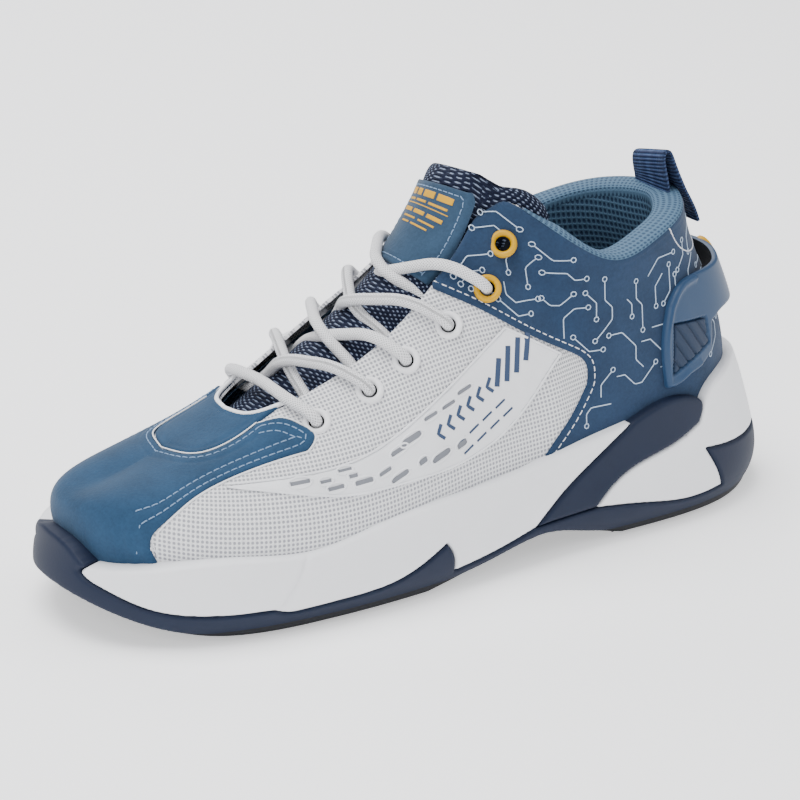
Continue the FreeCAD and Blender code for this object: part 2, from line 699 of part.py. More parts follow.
def make_heel_clip():
    clip = grid_solid(clip_grid(CLIP_THICKNESS), clip_grid(0.0))
    pocket = outline_prism([[a, b] for a, b in zip(INSERT, INSERT[1:] + INSERT[:1])],
                           "side", -80, 80)
    pocket_layer = layer((CLIP_SEAT + 1.2, CLIP_SEAT + 6), REAR)
    clip = clip.cut(pocket_layer.common(pocket))
    centre = (sum(x for x, _ in INSERT) / 4.0, sum(z for _, z in INSERT) / 4.0)
    small = [(centre[0] + (x - centre[0]) * 0.96, centre[1] + (z - centre[1]) * 0.95)
             for x, z in INSERT]
    insert = outline_prism([[a, b] for a, b in zip(small, small[1:] + small[:1])],
                           "side", -80, 80)
    slab = layer((CLIP_SEAT + 1.25, CLIP_SEAT + 2.3), REAR).common(insert)
    for k in range(5):
        low_x = 84 + 5 * k
        groove = [(low_x, 80 + k), (low_x + 0.8, 80 + k), (low_x + 13.8, 57 + k),
                  (low_x + 13, 57 + k)]
        cut = outline_prism([[a, b] for a, b in zip(groove, groove[1:] + groove[:1])],
                            "side", -80, 80)
        slab = slab.cut(cut.common(layer((CLIP_SEAT + 1.8, CLIP_SEAT + 6), REAR)))
    save("heel_clip", clip)
    save("heel_clip_insert_lateral", slab.common(box((60, -80, 40), (130, 0, 110))))
    save("heel_clip_insert_medial", slab.common(box((60, 0, 40), (130, 80, 110))))
    outer = CLIP_SEAT + CLIP_STAND_OFF * 1.07 + CLIP_THICKNESS
    place = upper_point(HEEL, 0.565, outer)
    badge = Part.makeCylinder(5.5, 3.2, vector(0, 0, -2))
    badge = badge.makeFillet(0.35, [badge.Edges[0]])
    save("heel_badge", along(badge, place, upper_normal(HEEL, 0.565)).cut(clip))


def webbing_loop():
    """Folded webbing seen from the side: two legs and a round fold."""
    centre, radius = vector(105.8, 0, 134.0), 2.4
    feet = [vector(99.9, 0, 121.2), vector(113.4, 0, 121.2)]
    half = WEBBING_THICKNESS / 2
    points = {}
    for number, foot in enumerate(feet):
        sign = -1 if number == 0 else 1
        reach = centre - foot
        distance = math.hypot(reach.x, reach.z)
        lean = math.atan2(reach.x, reach.z) + sign * math.asin(radius / distance)
        outward_side = vector(sign * math.cos(lean), 0, -sign * math.sin(lean))
        for name, shift in (("in", -half), ("out", half)):
            points[number, name] = (foot + outward_side * shift,
                                    centre + outward_side * (radius + shift))
    edges = []
    for name, size in (("in", radius - half), ("out", radius + half)):
        (foot_a, top_a), (foot_b, top_b) = points[0, name], points[1, name]
        edges += [Part.LineSegment(foot_a, top_a).toShape(),
                  Part.Arc(top_a, centre + vector(0, 0, size), top_b).toShape(),
                  Part.LineSegment(top_b, foot_b).toShape()]
    for number in (0, 1):
        edges.append(Part.LineSegment(points[number, "in"][0],
                                      points[number, "out"][0]).toShape())
    face = Part.Face(Part.Wire(Part.__sortEdges__(edges)))
    face.translate(vector(0, -WEBBING_WIDTH / 2))
    return face.extrude(vector(0, WEBBING_WIDTH))


def make_pull_tab():
    half = WEBBING_WIDTH / 2
    save("pull_tab_loop", webbing_loop())
    outside = layer((CLIP_SEAT, CLIP_SEAT + WEBBING_THICKNESS), REAR)
    inside = layer((COLLAR_SKIN[0] - GAP - WEBBING_THICKNESS, COLLAR_SKIN[0] - GAP), REAR)
    legs = outside.common(box((100, -half, 101), (140, half, 116.2))).fuse(
        inside.common(box((85, -half, 105), (112, half, 116.2))))
    save("pull_tab_legs", legs)


# ---------------------------------------------------------------- sole
def sole_outline(side_inset, back_inset, height):
    """Closed smooth plan outline of the sole at one height."""
    points = SOLE_LATERAL + SOLE_MEDIAL
    count = len(points)
    inset = []
    for i, (x, y) in enumerate(points):
        ahead, behind = points[(i + 1) % count], points[i - 1]
        dx, dy = ahead[0] - behind[0], ahead[1] - behind[1]
        length = math.hypot(dx, dy)
        amount = side_inset + (back_inset - side_inset) * smoothstep((x - 95) / 45.0)
        inset.append(vector(x - dy / length * amount, y + dx / length * amount, height))
    curve = Part.BSplineCurve()
    curve.interpolate(Points=inset, PeriodicFlag=True)
    return Part.Wire(curve.toShape())


def height_band(above_low, above_high, low_x=-160, high_x=160, half_width=80.0):
    """Prism between two heights above the feather line."""
    steps = list(range(low_x, high_x + 1, 10))
    low = [(x, feather_height(x) + above_low) for x in steps]
    high = [(x, feather_height(x) + above_high) for x in reversed(steps)]
    return outline_prism([low, [low[-1], high[0]], high], "side", -half_width, half_width)


def herringbone(first_x, last_x, pitch):
    """Zigzag grooves in the tread."""
    grooves = []
    x = first_x
    while x <= last_x:
        zigzag = [(x + (4.0 if i % 2 else 0.0), -60 + 8.0 * i) for i in range(16)]
        back = [(px + 1.6, py) for px, py in reversed(zigzag)]
        corners = zigzag + back
        grooves.append(outline_prism([[a, b] for a, b in zip(corners, corners[1:] +
                                                            corners[:1])], "plan", -1, 1.2))
        x += pitch
    return Part.makeCompound(grooves)


def make_sole():
    block = Part.makeLoft([sole_outline(side, back, height)
                           for height, side, back in SOLE_LEVELS], True, True)
    floor = STROBEL_THICKNESS + 0.4
    space = foot_space(SOLE_CLEARANCE).common(height_band(-floor, 190))
    block = block.cut(space)
    pocket = height_band(-floor - SHANK_THICKNESS - 0.3, -floor + 0.1, -20, 80,
                         SHANK_HALF_WIDTH + 0.2)
    block = block.cut(pocket)

    def back_to_front(*runs):
        return [list(reversed(run)) for run in reversed(runs)]

    pieces = {
        "midsole_forefoot": [FOREFOOT_LOW_FRONT, FOREFOOT_NOTCH, FOREFOOT_LOW_BACK, SPIKE,
                             FOREFOOT_ARCH, WING_FRONT, FOREFOOT_TOP, TOE_EDGE],
        "midsole_stripe": [WING_FRONT, STRIPE_TOP, STRIPE_LOW, STRIPE_FOOT],
        "midsole_heel": [HEEL_LOW, HEEL_STEP, HEEL_WRAP, [(152, 22), (152, 52)],
                         [(152, 52), (132, 52)], HEEL_TOP, STRIPE_LOW],
        "outsole": [GROUND_LINE, GROUND_FLAT, ARCH_LINE, HEEL_FLAT, HEEL_BEVEL,
                    [(152, 11), (152, 22)]] + back_to_front(
                        TOE_EDGE, FOREFOOT_LOW_FRONT, FOREFOOT_NOTCH, FOREFOOT_LOW_BACK,
                        SPIKE, FOREFOOT_ARCH, [(20, 15), (48, 16)], HEEL_LOW, HEEL_STEP,
                        HEEL_WRAP) + [[(-146, 27), (-142, 32)],
                                      list(reversed(TOE_BUMPER_TOP))],
    }
    prisms = {name: outline_prism(runs, "side", -90, 90) for name, runs in pieces.items()}
    cutters = {"midsole_stripe": prisms["midsole_heel"],
               "outsole": box((-96, -90, -9), (112, 90, TREAD_THICKNESS))}
    for name, prism in prisms.items():
        piece = block.common(prism)
        save(name, piece.cut(cutters[name]) if name in cutters else piece)

    tread = Part.Face(sole_outline(TREAD_INSET + 2, TREAD_INSET + 3, 0))
    tread = tread.extrude(vector(0, 0, TREAD_THICKNESS))
    for name, low_x, high_x in (("tread_forefoot", -96, -28), ("tread_heel", 62, 112)):
        pad = tread.common(box((low_x, -80, -1), (high_x, 80, 5)))
        save(name, pad.cut(herringbone(low_x + 5, high_x - 8, 7.0)))

    save("shank", height_band(-floor - SHANK_THICKNESS - 0.1, -floor - 0.1, -19, 79,
                              SHANK_HALF_WIDTH))
    save("strobel_board", foot_space(0.0).common(
        height_band(-STROBEL_THICKNESS - GAP, -GAP)))
    save("insole", foot_space(LINING[0] - 0.2).common(
        height_band(GAP, GAP + INSOLE_THICKNESS)))


make_sole()
make_upper()
make_eyelets()
make_tongue()
make_lace()
make_heel_clip()
make_pull_tab()
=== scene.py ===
import math

import bpy
import numpy as np
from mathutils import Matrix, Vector
from mathutils.kdtree import KDTree


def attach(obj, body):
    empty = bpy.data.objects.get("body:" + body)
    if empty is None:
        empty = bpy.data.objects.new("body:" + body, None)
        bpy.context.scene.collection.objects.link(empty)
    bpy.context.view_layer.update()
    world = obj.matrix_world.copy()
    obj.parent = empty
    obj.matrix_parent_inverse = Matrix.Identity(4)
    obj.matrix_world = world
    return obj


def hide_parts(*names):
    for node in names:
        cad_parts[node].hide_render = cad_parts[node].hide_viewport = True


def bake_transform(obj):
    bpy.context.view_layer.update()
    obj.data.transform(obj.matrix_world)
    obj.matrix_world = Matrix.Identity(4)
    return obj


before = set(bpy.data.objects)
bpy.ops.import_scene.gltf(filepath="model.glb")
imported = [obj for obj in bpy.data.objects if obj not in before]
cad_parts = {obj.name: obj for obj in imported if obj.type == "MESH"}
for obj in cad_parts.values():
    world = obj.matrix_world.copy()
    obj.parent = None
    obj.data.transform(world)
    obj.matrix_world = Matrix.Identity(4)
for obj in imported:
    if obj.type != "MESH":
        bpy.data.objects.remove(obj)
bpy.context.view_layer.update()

RNG = np.random.default_rng(11)
MM = 0.001

# ---------------------------------------------------------------- the last and the outlines
# Most of these repeat the CAD's. THROAT_SIDE and TONGUE follow the picture more closely.
# A station of the last holds the angle of its outward direction; base x, y; top x, y, z;
# rise, bulge, reach, drop.
LATERAL = np.array([
    (0, -143, 0, -114, 0, 52, 18, 3, 22, 0), (30, -138, -20, -106, 0, 55, 21, 4, 25, 0),
    (58, -120, -38, -95, 0, 59, 23, 5, 26, 0), (78, -95, -48, -79, 0, 65.5, 24, 5, 28, 0),
    (88, -65, -52, -60, 0, 76, 25, 5, 30, 0), (94, -35, -50.5, -38, 0, 90, 26, 4, 30, 0),
    (96, -8, -46.5, -18, 0, 106, 28, 3, 30, 0), (95, 16, -43, -2, 0, 124, 34, 1, 27, 0),
    (92, 36, -41, 10, 0, 138, 40, 0, 24, 0), (90, 50, -40, 30, -27, 127, 36, 0, 6, 18),
    (90, 63, -39.5, 46, -37, 114, 33, 1, 2, 22), (92, 78, -39, 62, -38, 107, 30, 1, 0, 25),
    (104, 98, -36, 81, -34, 110.5, 30, 2, 0, 25), (126, 115, -26.5, 97, -26, 114.5, 32, 3, 2, 26),
    (154, 127.5, -13, 107, -13, 116.5, 34, 3, 3, 27), (180, 131, 0, 111, 0, 117, 34, 3, 4, 27)])
MEDIAL = np.array([
    (0, -143, 0, -114, 0, 52, 18, 3, 22, 0), (28, -139.5, 17, -106, 0, 55, 17, 3, 22, 0),
    (55, -123, 32, -95, 0, 59, 17, 3, 21, 0), (76, -98, 42, -79, 0, 65.5, 18, 3, 21, 0),
    (90, -70, 46, -60, 0, 76, 20, 3, 24, 0), (96, -40, 43, -38, 0, 90, 26, 4, 30, 0),
    (97, -12, 37, -18, 0, 106, 28, 3, 30, 0), (92, 14, 33, -2, 0, 124, 34, 1, 27, 0),
    (88, 36, 33.5, 10, 0, 138, 40, 0, 24, 0), (88, 50, 34.5, 30, 27, 127, 36, 0, 6, 18),
    (88, 63, 35, 46, 37, 114, 33, 1, 2, 22), (92, 78, 35.5, 62, 38, 107, 30, 1, 0, 25),
    (104, 98, 34, 81, 34, 110.5, 30, 2, 0, 25), (126, 115, 26, 97, 26, 114.5, 32, 3, 2, 26),
    (154, 127.5, 12, 107, 13, 116.5, 34, 3, 3, 27), (180, 131, 0, 111, 0, 117, 34, 3, 4, 27)])
HEEL, LOOP, RIDGE_END = 15, 30, 8

SOLE_LATERAL = [(-150, 0), (-146, -20), (-131, -39), (-106, -51), (-76, -55.4), (-46, -55.4),
                (-14, -52.5), (20, -48), (50, -46), (85, -45), (110, -41), (131, -31),
                (145, -15), (149.5, 0)]
SOLE_MEDIAL = [(145, 15), (130, 29), (110, 38), (85, 40), (50, 38), (20, 37), (-14, 41),
               (-48, 49.5), (-80, 53.8), (-110, 48.6), (-135, 35), (-147, 17)]
SOLE_LEVELS = np.array([(-1, 7, 7), (8, 0.5, 2), (26, 0, 3), (50, 1.5, 10), (66, 3, 17)])

GROUND_LINE = [(-152, 17), (-138, 10.5), (-118, 4), (-96, 2), (-70, 2)]
ARCH_LINE = [(-28, 2), (0, 7), (28, 11), (44, 7), (62, 2)]
HEEL_BEVEL = [(112, 2), (134, 4), (152, 11)]
FOREFOOT_LOW_FRONT = [(-146, 22), (-134, 15.5), (-116, 12), (-92, 11)]
FOREFOOT_NOTCH = [(-92, 11), (-86, 9), (-79, 9)]
FOREFOOT_LOW_BACK = [(-79, 9), (-60, 9.5), (-44, 11), (-21, 20)]
SPIKE = [(-21, 20), (-18.5, 16), (-17, 8)]
FOREFOOT_ARCH = [(-17, 8), (0, 10.5), (20, 15)]
WING_FRONT = [(20, 15), (32, 24), (48, 34), (66, 45.5)]
FOREFOOT_TOP = [(66, 45.5), (40, 41), (15, 37), (-20, 35.5), (-50, 33), (-77, 29),
                (-106, 31), (-134, 29), (-146, 27)]
TOE_EDGE = [(-146, 27), (-147.5, 24.5), (-146, 22)]
STRIPE_TOP = [(66, 45.5), (78, 49.5), (92, 49.5), (100, 45), (98, 38)]
STRIPE_LOW = [(98, 38), (86, 33), (70, 29), (58, 24), (48, 16)]
HEEL_LOW = [(48, 16), (70, 13), (92, 9.5), (110, 10)]
HEEL_STEP = [(110, 10), (107, 17), (101, 27)]
HEEL_WRAP = [(101, 27), (120, 24.5), (152, 22)]
HEEL_TOP = [(132, 52), (114, 52.5), (104, 49), (98, 38)]

TOE_CAP_SIDE = [(-132, -31), (-124, -34), (-111, -33), (-83, -34), (-68, -37)]
TOE_CAP_TIP = [(-68, -37), (-63.5, -34.5), (-66, -28.5)]
TOE_CAP_THROAT = [(-66, -28.5), (-70, -22), (-77, -18)]
VAMP_PANEL = [(-77, -18), (-90, -18.5), (-100, -15), (-104.5, -6), (-105.5, 0)]
THROAT_SIDE = [(28, -24.5), (23.5, -19.2), (17, -17.6), (8, -19.2), (-5, -20.6), (-20, -21.8),
               (-52, -20.5), (-67, -17.5)]
THROAT_FRONT = [(-67, -17.5), (-76.5, -11), (-79.5, 0)]
PANEL_EDGE = [(-7, 103.5), (7, 96), (17, 89.5), (29, 82), (41, 75.5)]
PANEL_CORNER = [(41, 75.5), (48, 70), (48.5, 62)]
PANEL_BACK = [(48.5, 62), (42, 52), (33, 43), (18, 28)]
FILM_TOP = [(16.5, 88.2), (28, 81.3), (38.5, 75.2)]
FILM_BACK = [(38.5, 75.2), (31, 68), (14, 54), (-13, 45.5), (-38, 44.5), (-60, 45),
             (-80, 48.5)]
FILM_TIP = [(-80, 48.5), (-99, 52)]
FILM_FRONT = [(-99, 52), (-74, 53), (-50, 55.5), (-20, 67), (16.5, 88.2)]
INSERT = [(86, 78), (104, 76), (105.5, 66), (85, 58.5)]
EYELETS = [(4.06, 0.63), (4.87, 0.61), (5.52, 0.61), (6.37, 0.59), (7.32, 0.55),
           (8.18, 0.63)]
EYELET_HOLE = 3.1                # radius that the layers leave open
# a row of the tongue: middle x, z; half width; how far its sides drop
TONGUE = np.array([(-76, 60.6, 20, 6), (-58, 71, 24, 8.7), (-38, 84.2, 25, 9.8),
                   (-19, 99.5, 22, 9.5), (-6, 114, 20.5, 9.5), (4, 128, 20.5, 8.5),
                   (11, 141.5, 19.5, 6)])


# ---------------------------------------------------------------- curves
def smoothstep(value):
    value = np.clip(value, 0.0, 1.0)
    return value * value * (3 - 2 * value)


def hermite(f, start, end, leaving, arriving):
    """Point a share f of the way along a cubic between two ends with given slopes."""
    return ((1 + 2 * f) * (1 - f) ** 2 * start + f * (1 - f) ** 2 * leaving +
            f * f * (3 - 2 * f) * end + f * f * (f - 1) * arriving)


def spline_tangents(knots, values, periodic=False):
    """Slopes of the cubic spline through values at the knots."""
    n = len(knots)
    values = np.asarray(values, float).reshape(n, -1)
    matrix, right = np.zeros((n, n)), np.zeros_like(values)
    steps = np.diff(knots)
    for i in range(n):
        if 0 < i < n - 1:
            a, b = steps[i - 1], steps[i]
            matrix[i, i - 1], matrix[i, i], matrix[i, i + 1] = b, 2 * (a + b), a
            right[i] = 3 * (b * (values[i] - values[i - 1]) / a +
                            a * (values[i + 1] - values[i]) / b)
        elif periodic:
            a, b = steps[-1], steps[0]
            matrix[i, i] = 1
            if i == 0:
                matrix[i, 0], matrix[i, 1], matrix[i, n - 2] = 2 * (a + b), a, b
                right[i] = 3 * (b * (values[0] - values[n - 2]) / a +
                                a * (values[1] - values[0]) / b)
            else:
                matrix[i, 0] = -1
        else:
            k = 1 if i == 0 else n - 2
            matrix[i, i], matrix[i, k] = 2, 1
            s = steps[0] if i == 0 else steps[-1]
            right[i] = 3 * (values[max(i, k)] - values[min(i, k)]) / s
    return np.linalg.solve(matrix, right)


def spline(knots, values, at, periodic=False):
    knots = np.asarray(knots, float)
    shape = np.shape(values)[1:]
    values = np.asarray(values, float).reshape(len(knots), -1)
    slopes = spline_tangents(knots, values, periodic)
    at = np.asarray(at, float)
    flat = at.ravel()
    i = np.clip(np.searchsorted(knots, flat) - 1, 0, len(knots) - 2)
    step = knots[i + 1] - knots[i]
    f = ((flat - knots[i]) / step)[:, None]
    step = step[:, None]
    out = hermite(f, values[i], values[i + 1], step * slopes[i], step * slopes[i + 1])
    return out.reshape(at.shape + shape)


def smooth_run(points, spacing=1.2):
    """Points along the smooth curve through a run; a run of two points is straight."""
    points = np.asarray(points, float)
    lengths = np.r_[0, np.cumsum(np.linalg.norm(np.diff(points, axis=0), axis=1))]
    count = max(int(lengths[-1] / spacing), 2)
    at = np.linspace(0, lengths[-1], count + 1)
    if len(points) == 2:
        return points[0] + (points[1] - points[0]) * (at / lengths[-1])[:, None]
    return spline(lengths, points, at)


def outline(*runs):
    """Closed polygon of joined smooth runs."""
    parts = [smooth_run(run)[:-1] for run in runs]
    last = np.asarray(runs[-1][-1], float)
    polygon = np.vstack(parts + ([last[None]] if np.linalg.norm(
        last - np.asarray(runs[0][0], float)) > 1e-6 else []))
    return polygon


def flip(run):
    return [(x, -y) for x, y in reversed(run)]


def back(run):
    return list(reversed(run))


def path_length(points):
    return np.r_[0, np.cumsum(np.linalg.norm(np.diff(points, axis=0), axis=-1))]


def resample(points, spacing):
    points = np.asarray(points, float)
    along = path_length(points)
    at = np.linspace(0, along[-1], max(int(round(along[-1] / spacing)), 1) + 1)
    return np.stack([np.interp(at, along, points[:, k]) for k in range(points.shape[1])], 1)


def signed_distance(px, py, polygon):
    """Distance to a closed polygon, positive inside."""
    a, b = polygon, np.roll(polygon, -1, axis=0)
    keep = np.linalg.norm(b - a, axis=1) > 1e-9
    a, b = a[keep], b[keep]
    shape = px.shape
    x, y = px.ravel(), py.ravel()
    best = np.full(x.size, 1e18)
    inside = np.zeros(x.size, bool)
    for (ax, ay), (bx, by) in zip(a, b):
        dx, dy = bx - ax, by - ay
        t = np.clip(((x - ax) * dx + (y - ay) * dy) / (dx * dx + dy * dy), 0, 1)
        best = np.minimum(best, (x - ax - t * dx) ** 2 + (y - ay - t * dy) ** 2)
        if ay != by:
            crosses = (ay > y) != (by > y)
            inside ^= crosses & (x < ax + (y - ay) * dx / dy)
    return np.where(inside, 1, -1).reshape(shape) * np.sqrt(best).reshape(shape)


def unit(v):
    v = np.asarray(v, float)
    return v / np.maximum(np.linalg.norm(v, axis=-1, keepdims=True), 1e-12)


def side_distance(points, polygon):
    """Distance inside an outline that is drawn in side view."""
    return signed_distance(points[..., 0], points[..., 2], polygon)


def plan_distance(points, polygon):
    """Distance inside an outline that is drawn in plan."""
    return signed_distance(points[..., 0], points[..., 1], polygon)


def grid_of(firsts, seconds):
    return np.meshgrid(firsts, seconds, indexing="ij")


def tree_of(points):
    """Search tree of points."""
    tree = KDTree(len(points))
    for k, point in enumerate(points):
        tree.insert(point, k)
    tree.balance()
    return tree


# ---------------------------------------------------------------- the upper's surfaces
def feather_height(x):
    return np.where(x < -62, 24 + 12 * ((-62 - x) / 88.0) ** 2,
                    24 + 16 * smoothstep((x + 62) / 170.0))


def on_ridge(index):
    return index % LOOP <= RIDGE_END or index % LOOP >= LOOP - RIDGE_END


def ridge_slope(number):
    low, high = LATERAL[max(number - 1, 0)], LATERAL[min(number + 1, RIDGE_END)]
    return (high[5] - low[5]) / (high[3] - low[3])


def ridge_number(index):
    return min(index % LOOP, LOOP - index % LOOP)


def station_row(index):
    return (LATERAL[index], -1) if index <= HEEL else (MEDIAL[LOOP - index], 1)


def build_family():
    handles = np.zeros((LOOP, 4, 3))
    outs = np.zeros((LOOP, 3))
    for k in range(LOOP):
        row, side = station_row(k)
        angle = math.radians(row[0])
        out = np.array([-math.cos(angle), side * math.sin(angle), 0])
        base = np.array([row[1], row[2], float(feather_height(row[1]))])
        top = np.array([row[3], row[4], row[5]])
        climb = ridge_slope(ridge_number(k)) * out[0] * row[8] if on_ridge(k) else 0.0
        handles[k] = [base, base + out * row[7] + [0, 0, row[6]],
                      top + out * row[8] + [0, 0, climb - row[9]], top]
        outs[k] = out + [0, 0, 0.5]

    def outward(a, b, out):
        normal = unit(np.cross(a, b))
        return normal if normal @ out > 0 else -normal

    normals = np.zeros_like(handles)
    for k in range(LOOP):
        here, after, before = handles[k], handles[(k + 1) % LOOP], handles[k - 1]
        low = outward(after[0] - before[0], here[1] - here[0], outs[k])
        middle = outward(after[1] - before[1] + after[2] - before[2], here[2] - here[1],
                         outs[k])
        if on_ridge(k):
            top = unit([-ridge_slope(ridge_number(k)), 0, 1])
        else:
            top = outward(after[3] - before[3], here[3] - here[2], outs[k])
        normals[k] = [low, (low + middle) / (1 + low @ middle),
                      (middle + top) / (1 + middle @ top), top]

    def tangents(points, top_track):
        chord = np.roll(points, -1, axis=0) - np.roll(points, 1, axis=0)
        slopes = chord * 0.5
        ends = {RIDGE_END: points[RIDGE_END] - points[RIDGE_END - 1],
                LOOP - RIDGE_END: points[LOOP - RIDGE_END + 1] - points[LOOP - RIDGE_END]}
        for _ in range(40):
            for i in range(LOOP):
                slopes[i] = (chord[i] * 3 - slopes[i - 1] - slopes[(i + 1) % LOOP]) * 0.25
                if top_track and i in ends:
                    slopes[i] = ends[i]
                if top_track and on_ridge(i):
                    slopes[i, 1] = 0.0
        return slopes

    handle_slopes = np.stack([tangents(handles[:, j], j == 3) for j in range(4)], 1)
    normal_slopes = np.stack([tangents(normals[:, j], j == 3) for j in range(4)], 1)
    return handles, normals, handle_slopes, normal_slopes


FAMILY = build_family()


def upper(station, height, depth=0.0):
    """Points of the upper: station round the loop, height 0 to 1, depth outwards in mm."""
    station, height, depth = np.broadcast_arrays(np.asarray(station, float),
                                                 np.asarray(height, float),
                                                 np.asarray(depth, float))
    k = np.floor(station).astype(int)
    f = (station - k)[..., None, None]
    k = k % LOOP
    n = (k + 1) % LOOP
    d = depth[..., None, None]
    handles, normals, hs, ns = FAMILY
    points = hermite(f, handles[k] + normals[k] * d, handles[n] + normals[n] * d,
                     hs[k] + ns[k] * d, hs[n] + ns[n] * d)
    t = height
    weights = np.stack([(1 - t) ** 3, 3 * t * (1 - t) ** 2, 3 * t * t * (1 - t), t ** 3], -1)
    return (points * weights[..., None]).sum(-2)


def upper_normal(station, height):
    return unit(upper(station, height, 2.0) - upper(station, height, 0.0))


def even_stations(first, last, spacing=1.25):
    fine = np.linspace(first, last, 1500)
    along = path_length(upper(fine, 0.35))
    count = int(along[-1] / spacing)
    return np.interp(np.linspace(0, along[-1], count + 1), along, fine)


# ---------------------------------------------------------------- the sole's wall
def build_wall():
    points = np.array(SOLE_LATERAL + SOLE_MEDIAL, float)
    ahead = np.roll(points, -1, axis=0) - np.roll(points, 1, axis=0)
    inward = np.stack([-ahead[:, 1], ahead[:, 0]], 1) / np.linalg.norm(ahead, axis=1)[:, None]
    weight = smoothstep((points[:, 0] - 95) / 45.0)[:, None]
    rows = np.hstack([points, inward, inward * weight])
    closed = np.vstack([rows, rows[:1]])
    knots = path_length(closed[:, :2])
    return knots, closed, spline_tangents(knots, closed, True)


WALL = build_wall()
WALL_LENGTH = WALL[0][-1]


def wall(along, height, depth=0.0):
    """Points of the sole's side wall: distance round the sole, height, depth outwards."""
    knots, values, slopes = WALL
    along, height, depth = np.broadcast_arrays(np.asarray(along, float),
                                               np.asarray(height, float),
                                               np.asarray(depth, float))
    flat = along.ravel() % WALL_LENGTH
    i = np.clip(np.searchsorted(knots, flat, side="right") - 1, 0, len(knots) - 2)
    step = knots[i + 1] - knots[i]
    f = ((flat - knots[i]) / step)[:, None]
    step = step[:, None]
    row = hermite(f, values[i], values[i + 1], step * slopes[i], step * slopes[i + 1])
    side = spline(SOLE_LEVELS[:, 0], SOLE_LEVELS[:, 1], height.ravel())
    heel = spline(SOLE_LEVELS[:, 0], SOLE_LEVELS[:, 2], height.ravel())
    plan = (row[:, :2] + row[:, 2:4] * side[:, None] +
            row[:, 4:6] * (heel - side)[:, None])
    plan = plan - unit(row[:, 2:4]) * depth.ravel()[:, None]
    return np.dstack([plan[:, 0], plan[:, 1], height.ravel()])[0].reshape(along.shape + (3,))


# ---------------------------------------------------------------- meshes
def mesh_object(name, points, faces, material, uv, ride="root"):
    """Smooth object from points in mm; it rides on a body unless ride is None."""
    mesh = bpy.data.meshes.new(name)
    mesh.from_pydata((np.asarray(points, float) * MM).tolist(), [], faces)
    mesh.shade_smooth()
    layer = mesh.uv_layers.new(name="UVMap")
    index = np.zeros(len(mesh.loops), np.int32)
    mesh.loops.foreach_get("vertex_index", index)
    layer.data.foreach_set("uv", np.asarray(uv, np.float32)[index].ravel())
    mesh.materials.append(material)
    obj = bpy.data.objects.new(name, mesh)
    bpy.context.scene.collection.objects.link(obj)
    if ride:
        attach(obj, ride)
    return obj


def grid_faces(rows, columns, ring=False):
    """Quads of a grid of points; with ring, the last column joins the first."""
    i, j = np.meshgrid(np.arange(rows - 1), np.arange(columns if ring else columns - 1),
                       indexing="ij")
    i2, j2 = i + 1, (j + 1) % columns
    quads = np.stack([i * columns + j, i2 * columns + j, i2 * columns + j2,
                      i * columns + j2], -1)
    return quads.reshape(-1, 4).tolist()


def end_faces(rows, columns):
    """The two faces that close a tube of rings."""
    return [list(range(columns))[::-1], [(rows - 1) * columns + k for k in range(columns)]]


def clip_cells(field):
    """Part of a grid where the field is positive: node coordinates and faces."""
    inside = field > 0
    number = -np.ones(field.shape, int)
    number[inside] = np.arange(inside.sum())
    coords = [np.argwhere(inside).astype(float)]
    count = int(inside.sum())
    full = inside[:-1, :-1] & inside[1:, :-1] & inside[1:, 1:] & inside[:-1, 1:]
    i, j = np.nonzero(full)
    faces = np.stack([number[i, j], number[i + 1, j], number[i + 1, j + 1],
                      number[i, j + 1]], 1).tolist()
    some = inside[:-1, :-1] | inside[1:, :-1] | inside[1:, 1:] | inside[:-1, 1:]
    cuts, extra = {}, []
    for i, j in np.argwhere(some & ~full):
        ring = [(i, j), (i + 1, j), (i + 1, j + 1), (i, j + 1)]
        face = []
        for a, b in zip(ring, ring[1:] + ring[:1]):
            if inside[a]:
                face.append(int(number[a]))
            if inside[a] != inside[b]:
                key = (a, b) if a < b else (b, a)
                if key not in cuts:
                    f = field[key[0]] / (field[key[0]] - field[key[1]])
                    cuts[key] = count + len(extra)
                    extra.append([key[0][0] + (key[1][0] - key[0][0]) * f,
                                  key[0][1] + (key[1][1] - key[0][1]) * f])
                face.append(cuts[key])
        if len(face) > 2:
            faces.append(face)
    if extra:
        coords.append(np.array(extra))
    return np.vstack(coords), faces


def at_nodes(values, coords):
    """Grid values at clipped node coordinates."""
    i = np.minimum(coords[:, 0].astype(int), values.shape[0] - 2)
    j = np.minimum(coords[:, 1].astype(int), values.shape[1] - 2)
    fi, fj = coords[:, 0] - i, coords[:, 1] - j
    if values.ndim == 3:
        fi, fj = fi[:, None], fj[:, None]
    return ((values[i, j] * (1 - fi) + values[i + 1, j] * fi) * (1 - fj) +
            (values[i, j + 1] * (1 - fi) + values[i + 1, j + 1] * fi) * fj)


def rim_edges(faces):
    """Directed edges that only one face uses."""
    seen = {}
    for face in faces:
        for a, b in zip(face, face[1:] + face[:1]):
            if (b, a) in seen:
                del seen[(b, a)]
            else:
                seen[(a, b)] = True
    return list(seen)


